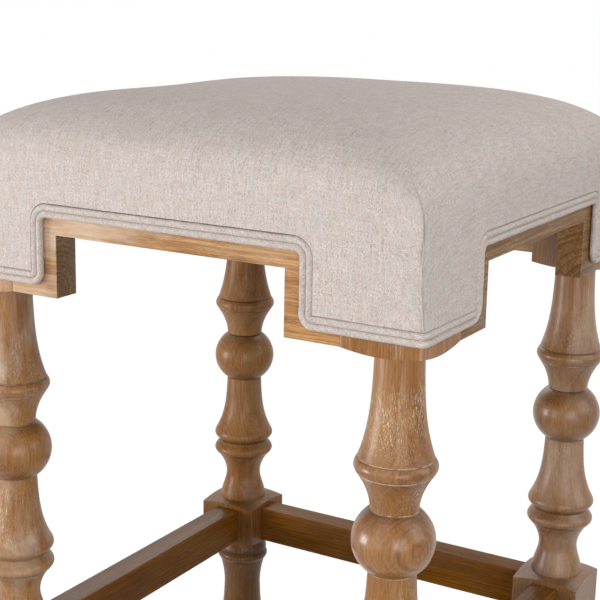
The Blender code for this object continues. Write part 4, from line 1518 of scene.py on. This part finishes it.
    def sew(self, mesh: bpy.types.Mesh) -> None:
        """Shapes each corner: the cloth folds in towards the top, beside a sewn seam.

        Args:
            mesh: The cloth.
        """
        places = vertex_array(mesh)
        normals = vertex_array(mesh, "normal")
        move = np.zeros_like(places)
        seam = np.zeros(len(places))
        for quarter in range(4):
            turn = np.array(quarter_turn(-quarter).to_3x3())
            local = places @ turn.T
            near = (local[:, 0] > 0) & (local[:, 1] < 0)
            height = local[:, 2] - self.base
            from_right = smooth(np.clip((self.half - local[:, 0]) / self.fold_right, 0, 1))
            from_front = smooth(np.clip((self.half + local[:, 1]) / self.fold_front, 0, 1))
            share = (1 - from_right) * (1 - from_front)
            shift = np.interp(height / MM, *zip(*self.folds)) * MM * share * near
            move -= shift[:, None] * turn[0][None, :]
            beside = local[:, 0] + local[:, 1] + np.interp(height / MM, *zip(*self.seams)) * MM
            fade = smooth(np.clip((self.seam_top - height) / self.seam_fade, 0, 1)) * near
            high = np.clip((height - self.high_start) / self.high_reach, 0, 1)
            deep = self.seam_low + (self.seam_high - self.seam_low) * high
            ridge = self.ridge * np.exp(-((beside - self.ridge_aside) / self.ridge_width) ** 2)
            # The valley is pushed in and also darkened with painted shade through the seam values.
            valley = np.exp(-(beside / self.seam_width) ** 2) * deep * fade
            seam += valley
            move += normals * (ridge * fade * (1 - 0.7 * high) - self.seam_depth * valley)[:, None]
        give_values(mesh, seam=seam)
        mesh.vertices.foreach_set("co", (places + move).astype(np.float32).ravel())
        mesh.update()

    def _notch(self, quarter: int) -> bpy.types.Mesh:
        """Makes the tool that cuts one side's step between its two drops."""
        left, right = (self.notch_reach + end for end in HEM_ENDS[quarter])
        top, bend = self.base + self.notch_top, self.notch_bend
        below = self.base - self.overrun
        outline = [(-left, below), (right, below)]
        for turn, centre in enumerate((right - bend, bend - left)):
            outline += arc((centre, top - bend), bend, 90 * turn, 90 * turn + 90, 8)
        tool = finished_mesh("hem_step", prism(outline, -self.half - self.overrun,
                                               -self.half + self.overrun, "XZY"))
        tool.transform(quarter_turn(quarter))
        return tool

    def build(self, shop: Workshop) -> None:
        """Makes the cover and places it.

        Args:
            shop: The workshop.
        """
        mesh = self.cloth()
        self.settle(mesh)
        self.sew(mesh)
        work = placed("cover_work", mesh)
        padding = work.modifiers.new("Padding", "SOLIDIFY")
        padding.thickness, padding.offset = self.thickness, -1.0
        shell = trimmed("seat_cover_cloth", applied(work), "DIFFERENCE",
                        [self._notch(quarter) for quarter in range(4)], 60)
        cover = shop.put("crowned_seat_cover", shell, MelangeCloth("seat_cloth").make(),
                         ["seat_cover", "seat_foam"])


@dataclass
class DoubleWelt:
    """Two covered cords side by side, glued along the cover's stepped edge.

    The swells make the cords a little uneven: each has its share of the size, its rate along the
    line in radians a metre, and where it starts.
    """

    cord: float = 5.5 * MM
    valley: float = 3.4 * MM
    drop_margin: float = 9.5 * MM
    band_margin: float = 14.0 * MM
    upper_bend: float = 10 * MM
    lower_bends: Tuple[float, ...] = (6 * MM, 8 * MM, 7 * MM, 7 * MM)
    pitch: float = 2.4 * MM
    # How much painted shade lies in the valley between the cords.
    valley_painted_shade: float = 1.3
    swells: Tuple[Point3, ...] = ((0.012, 310, 0), (0.010, 127, 1))

    def __post_init__(self) -> None:
        """Works out the middle line's levels from the apron's and the leg's nodes."""
        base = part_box("front_apron")[0].z
        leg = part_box("front_right_leg")
        self.face = leg[1].x + GAP
        self.low = base + self.drop_margin + self.cord
        self.high = base + NOTCH + self.band_margin + self.cord
        self.drop_end = leg[0].x - DROP + self.cord

    def _line(self, quarter: int) -> List[Tuple[Vector, Vector, Vector]]:
        """Lays out one side's middle line.

        Args:
            quarter: The side.

        Returns:
            The line's places, each with the direction out and the direction to the cover.
        """
        out = Vector((0, -1, 0))
        left, right = (self.drop_end + end for end in HEM_ENDS[quarter])
        lower, upper = self.lower_bends[quarter], self.upper_bend
        corners = (((-left - lower, self.low + lower), lower, -90, 0, -1),
                   ((-left + upper, self.high - upper), upper, 180, 90, 1),
                   ((right - upper, self.high - upper), upper, 90, 0, 1),
                   ((right + lower, self.low + lower), lower, 180, 270, -1))
        line: List[Tuple[Vector, Vector, Vector]] = []
        for centre, radius, start, end, away in corners:
            for x, z in arc((0.0, 0.0), 1.0, start, end, 12):
                ray = Vector((x, 0, z))
                place = Vector((centre[0], -self.face, centre[1])) + ray * radius
                line.append((place, out, ray * away))
        corner = self.face - GAP
        for x, y in arc((0.0, 0.0), 1.0, -90, 0, 8):
            ray = Vector((x, y, 0))
            place = Vector((corner, -corner, self.low)) + ray * GAP
            line.append((place, ray, Vector((0, 0, 1))))
        return line

    def _stations(self) -> List[Tuple[Vector, Vector, Vector]]:
        """Runs the line round all four sides, with long runs split into short steps."""
        whole = []
        for quarter in range(4):
            turn = quarter_turn(quarter).to_3x3()
            whole += [tuple(turn @ part for part in station) for station in self._line(quarter)]
        fine = []
        for index, station in enumerate(whole):
            after = whole[(index + 1) % len(whole)]
            steps = max(1, round((after[0] - station[0]).length / self.pitch))
            for step in range(steps):
                share = step / steps
                fine.append((station[0].lerp(after[0], share),
                             station[1].lerp(after[1], share).normalized(),
                             station[2].lerp(after[2], share).normalized()))
        return fine

    def _section(self) -> List[Point2]:
        """Gives the two cords' outline as (towards the cover, outwards)."""
        radius = self.cord / 2
        lobe = arc((radius, radius), radius, -60, 150, 14)
        return ([(radius, 0.0)] + lobe + [(0.0, self.valley)]
                + [(-across, out) for across, out in reversed(lobe)] + [(-radius, 0.0)])

    def build(self, shop: Workshop) -> None:
        """Sweeps the welt and places it.

        Args:
            shop: The workshop.
        """
        section = self._section()
        around = [0.0]
        for first, second in zip(section, section[1:] + section[:1]):
            around.append(around[-1] + math.dist(first, second))
        shape = bmesh.new()
        layer = shape.loops.layers.uv.new("cloth")
        stations = self._stations()
        run = [0.0]
        for first, second in zip(stations, stations[1:] + stations[:1]):
            run.append(run[-1] + (second[0] - first[0]).length)
        rings = []
        for index, (place, out, across) in enumerate(stations):
            uneven = 1 + sum(share * math.sin(run[index] * rate + start)
                             for share, rate, start in self.swells)
            rings.append([shape.verts.new(place + across * (aside * uneven) + out * (lift * uneven))
                          for aside, lift in section])
        for index, ring in enumerate(rings):
            after = rings[(index + 1) % len(rings)]
            for point in range(len(section)):
                beside = (point + 1) % len(section)
                face = shape.faces.new((ring[point], ring[beside], after[beside], after[point]))
                corners = ((index, point), (index, point + 1), (index + 1, point + 1),
                           (index + 1, point))
                for loop, (station, turn) in zip(face.loops, corners):
                    loop[layer].uv = (run[station], around[turn])
        mesh = finished_mesh("double_welt_cords", shape, 75)
        # Painted shade along the valley between the two cords.
        between = [self.valley_painted_shade if point == (0.0, self.valley) else 0.0 for point in section]
        give_values(mesh, seam=np.tile(between, len(stations)))
        finish = MelangeCloth("welt_cloth", bias=math.pi / 4, shade=0.99).make()
        shop.put("double_welt_cords", mesh, finish, ["double_welt"])


# Inside and underneath


def wire(shape: bmesh.types.BMesh, points: Sequence[Vector], radius: float, around: int = 8) -> None:
    """Adds a closed round wire through some points.

    Args:
        shape: The bmesh to add to.
        points: The wire's middle line.
        radius: The wire's radius.
        around: Faces around.
    """
    rings = []
    for index, point in enumerate(points):
        ahead = points[min(index + 1, len(points) - 1)] - points[max(index - 1, 0)]
        turn = ahead.to_track_quat("Z", "Y")
        rings.append([shape.verts.new(point + turn @ Vector((x, y, 0)))
                      for x, y in circle(radius, around)])
    bridge(shape, rings)


@dataclass
class DustCover:
    """The black cloth under the board, cut round the corner blocks and stapled on."""

    thickness: float = 0.5 * MM
    sag: float = 3.0 * MM
    sag_reach: float = 60 * MM
    pucker: float = 0.35 * MM
    pucker_rate: float = 210.0
    pucker_inset: float = 14 * MM
    pucker_reach: float = 9 * MM
    block_margin: float = 0.6 * MM
    rows: int = 64
    staple: float = 10 * MM
    staple_wire: float = 0.55 * MM
    staple_inset: float = 5 * MM
    side_shares: Tuple[float, ...] = (-0.8, -0.27, 0.27, 0.8)
    corner_shares: Tuple[float, ...] = (-0.6, -0.2, 0.2, 0.6)

    def __post_init__(self) -> None:
        """Reads the cloth's level and the space that the corner blocks leave."""
        low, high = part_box("dust_cover")
        self.level, self.half = high.z, high.x
        self.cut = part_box("front_right_corner_block")[0].x - self.block_margin

    def _hang(self, x: float, y: float) -> float:
        """Gives the cloth's height, with its sag and small puckers at the edge."""
        inward = min(self.half - abs(x), self.half - abs(y),
                     (self.half + self.cut - abs(x) - abs(y)) / math.sqrt(2))
        slack = 1 - math.exp(-max(inward, 0.0) / self.sag_reach)
        wave = (math.sin(x * self.pucker_rate) * math.sin(y * self.pucker_rate)
                * math.exp(-abs(inward - self.pucker_inset) / self.pucker_reach))
        return self.level - GAP - self.sag * slack - self.pucker * (1 + wave)

    def _cloth(self) -> bpy.types.Mesh:
        """Cuts the cloth to its eight sides and hangs it."""
        shape = bmesh.new()
        bmesh.ops.create_grid(shape, x_segments=self.rows, y_segments=self.rows, size=self.half)
        for quarter in range(4):
            outward = quarter_turn(quarter).to_3x3() @ Vector((1, -1, 0)).normalized()
            edge = outward * (self.half + self.cut) / math.sqrt(2)
            bmesh.ops.bisect_plane(shape, geom=shape.verts[:] + shape.edges[:] + shape.faces[:],
                                   plane_co=edge, plane_no=outward, clear_outer=True)
        for vertex in shape.verts:
            vertex.co.z = self._hang(vertex.co.x, vertex.co.y)
        bmesh.ops.recalc_face_normals(shape, faces=shape.faces)
        bmesh.ops.solidify(shape, geom=shape.faces[:], thickness=self.thickness)
        return finished_mesh("dust_cover_cloth", shape, 60)

    def _staples(self) -> bpy.types.Mesh:
        """Drives staples along the cloth's eight sides."""
        shape = bmesh.new()
        places: List[Tuple[Vector, Vector]] = []
        for quarter in range(4):
            turn = quarter_turn(quarter).to_3x3()
            for aside in self.side_shares:
                places.append((turn @ Vector((aside * self.cut, self.staple_inset - self.half, 0)),
                               turn @ Vector((1, 0, 0))))
            reach = (self.half + self.cut) / 2 - self.staple_inset
            for aside in self.corner_shares:
                slide = aside * (self.half - self.cut) / 2
                places.append((turn @ Vector((reach + slide, -reach + slide, 0)),
                               turn @ Vector((1, 1, 0)).normalized()))
        for place, run in places:
            level = self._hang(place.x, place.y) - self.thickness - self.staple_wire * 0.6
            half, thick = self.staple / 2, self.staple_wire
            bends = ((-half, 3 * thick), (-half, thick), (thick - half, 0.0),
                     (half - thick, 0.0), (half, thick), (half, 3 * thick))
            wire(shape, [place + run * aside + Vector((0, 0, level + up)) for aside, up in bends],
                 thick)
        return finished_mesh("dust_cover_staples", shape, 50)

    def build(self, shop: Workshop) -> None:
        """Places the cloth and its staples.

        Args:
            shop: The workshop.
        """
        cambric = PlainStuff("dust_cover_cambric", srgb(38, 37, 38), 0.92, scale=1500.0,
                             depth=0.2 * MM).make()
        steel = PlainStuff("staple_wire", srgb(176, 176, 174), 0.36, metal=1.0).make()
        cloth = shop.put("dust_cover_cloth", self._cloth(), cambric, ["dust_cover"])
        shop.put("dust_cover_staples", self._staples(), steel)


@dataclass
class Underside:
    """What holds the stool together out of sight, as pairs of a word in its name and its finish."""

    finishes: Tuple[Tuple[str, Union[BareWood, PlainStuff]], ...] = (
        ("corner_block", BareWood("corner_block_wood", srgb(190, 158, 116))),
        ("dowel", BareWood("dowel_beech", srgb(214, 182, 140))),
        ("seat_board", BareWood("seat_plywood", srgb(202, 170, 128), plies=True)),
        ("screw", PlainStuff("screw_steel", srgb(190, 188, 182), 0.34, metal=1.0)),
        ("glide", PlainStuff("glide_nylon", srgb(96, 78, 62), 0.45)),
    )

    def build(self, shop: Workshop, nodes: Dict[str, bpy.types.Object]) -> None:
        """Finishes the nodes that stay.

        Args:
            shop: The workshop.
            nodes: The frame's nodes.
        """
        for part, stuff in self.finishes:
            finish = stuff.make()
            for name, node in nodes.items():
                if part in name:
                    shop.paint(node, finish)


# Studio


@dataclass(frozen=True)
class Lamp:
    """One soft light: where it comes from, how wide it is and how strong."""

    name: str
    towards: Point3
    width: float
    watts: float


@dataclass
class Studio:
    """The camera at the photograph's place, soft lamps and a white room."""

    eye: Point3 = (0.601467, -1.040918, 0.753130)
    yaw: float = 0.5293
    pitch: float = 0.2313
    roll: float = -0.0193
    lens: float = 83.152
    sensor: float = 36.0
    aim: Point3 = (0.0, 0.0, 0.42)
    distance: float = 2.2
    floor_half: float = 30.0
    lamps: Tuple[Lamp, ...] = (
        Lamp("low_left", (-0.791, -0.605, -0.045), 0.75, 30.0),
        Lamp("low_front", (0.571, -0.821, 0.035), 0.45, 3.0),
        Lamp("low_right", (0.700, -0.714, 0.060), 1.3, 18.6),
        Lamp("front_low", (-0.200, -0.970, 0.050), 1.3, 10.6),
        Lamp("front_left", (-0.620, -0.660, 0.420), 1.5, 2.0),
        Lamp("front_high", (-0.050, -0.750, 0.660), 1.5, 8.8),
        Lamp("right_side", (0.930, 0.150, 0.350), 1.3, 14.0),
        Lamp("right_high", (0.700, 0.000, 0.720), 1.2, 4.4),
        Lamp("back_high", (0.000, 0.600, 0.800), 1.4, 18.6),
        Lamp("back_left", (-0.600, 0.600, 0.500), 1.2, 9.0),
    )

    def _camera(self) -> None:
        """Sets the camera where the photograph was taken."""
        forward = Vector((-math.sin(self.yaw) * math.cos(self.pitch),
                          math.cos(self.yaw) * math.cos(self.pitch), -math.sin(self.pitch)))
        right = Vector((math.cos(self.yaw), math.sin(self.yaw), 0))
        down = forward.cross(right)
        rolled_right = right * math.cos(self.roll) + down * math.sin(self.roll)
        rolled_down = down * math.cos(self.roll) - right * math.sin(self.roll)
        lens = bpy.data.cameras.new("photograph_camera")
        lens.lens, lens.sensor_width = self.lens, self.sensor
        lens.clip_start, lens.clip_end = 0.05, 50.0
        camera = placed("photograph_camera", lens)
        turn = Matrix((rolled_right, -rolled_down, -forward)).transposed().to_4x4()
        camera.matrix_world = Matrix.Translation(self.eye) @ turn
        bpy.context.scene.camera = camera

    def _lamps(self) -> None:
        """Hangs the lamps round the stool."""
        aim = Vector(self.aim)
        for lamp in self.lamps:
            light = bpy.data.lights.new(lamp.name, "AREA")
            light.shape, light.size, light.energy = "SQUARE", lamp.width, lamp.watts
            direction = Vector(lamp.towards).normalized()
            item = placed(lamp.name, light)
            item.location = aim + direction * self.distance
            item.rotation_mode = "QUATERNION"
            item.rotation_quaternion = direction.to_track_quat("Z", "Y")

    @staticmethod
    def _seen(bench: Bench) -> Signal:
        """Gives 1 where the camera, a reflection or glass looks at the room."""
        camera, glossy, glass = bench.outputs(bench.node("ShaderNodeLightPath"), (
            "Is Camera Ray", "Is Glossy Ray", "Is Transmission Ray"))
        return (camera + glossy + glass).between(0.0, 1.0)

    def _room(self) -> None:
        """Makes the white surroundings and the pale floor."""
        world = bpy.data.worlds.new("white_room")
        bpy.context.scene.world = world
        bench = Bench(world)
        bench.surface(Color=(1.0, 1.0, 1.0), Strength=self._seen(bench) * 0.97 + 0.03)
        bench = Bench(bpy.data.materials.new("pale_floor"))
        bench.surface(Base_Color=(0.26, 0.26, 0.26), Roughness=0.9, Specular_IOR_Level=0.0)
        glow = bench.node("ShaderNodeEmission", inputs={"Color": (1.0, 1.0, 1.0), "Strength": 1.20})
        mixed = bench.node("ShaderNodeMixShader", inputs={
            0: self._seen(bench) * 0.83, 1: Signal(bench, bench.shader.outputs[0]), 2: glow})
        bench.feed(bench.tree.nodes["Material Output"].inputs["Surface"], mixed)
        shape = bmesh.new()
        bmesh.ops.create_grid(shape, x_segments=1, y_segments=1, size=self.floor_half)
        floor = placed("studio_floor", finished_mesh("studio_floor", shape))
        floor.data.materials.append(bench.owner)

    def build(self) -> None:
        """Sets up the camera, the lamps and the room."""
        self._camera()
        self._lamps()
        self._room()
        bpy.context.scene.view_settings.view_transform = "Standard"


def main() -> None:
    """Dresses the stool piece by piece and sets it in the studio."""
    logging.basicConfig(level=logging.INFO, format="%(name)s: %(message)s")
    for item in list(bpy.data.objects):
        bpy.data.objects.remove(item)
    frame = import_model()
    shop = Workshop()
    TurnedLegs().build(shop)
    SteppedAprons().build(shop)
    Footrest().build(shop)
    PaddedSeat().build(shop)
    DoubleWelt().build(shop)
    DustCover().build(shop)
    Underside().build(shop, frame["nodes"])
    Studio().build()
    LOG.info("%d pieces placed", shop.pieces)


if __name__ == "__main__":
    main()
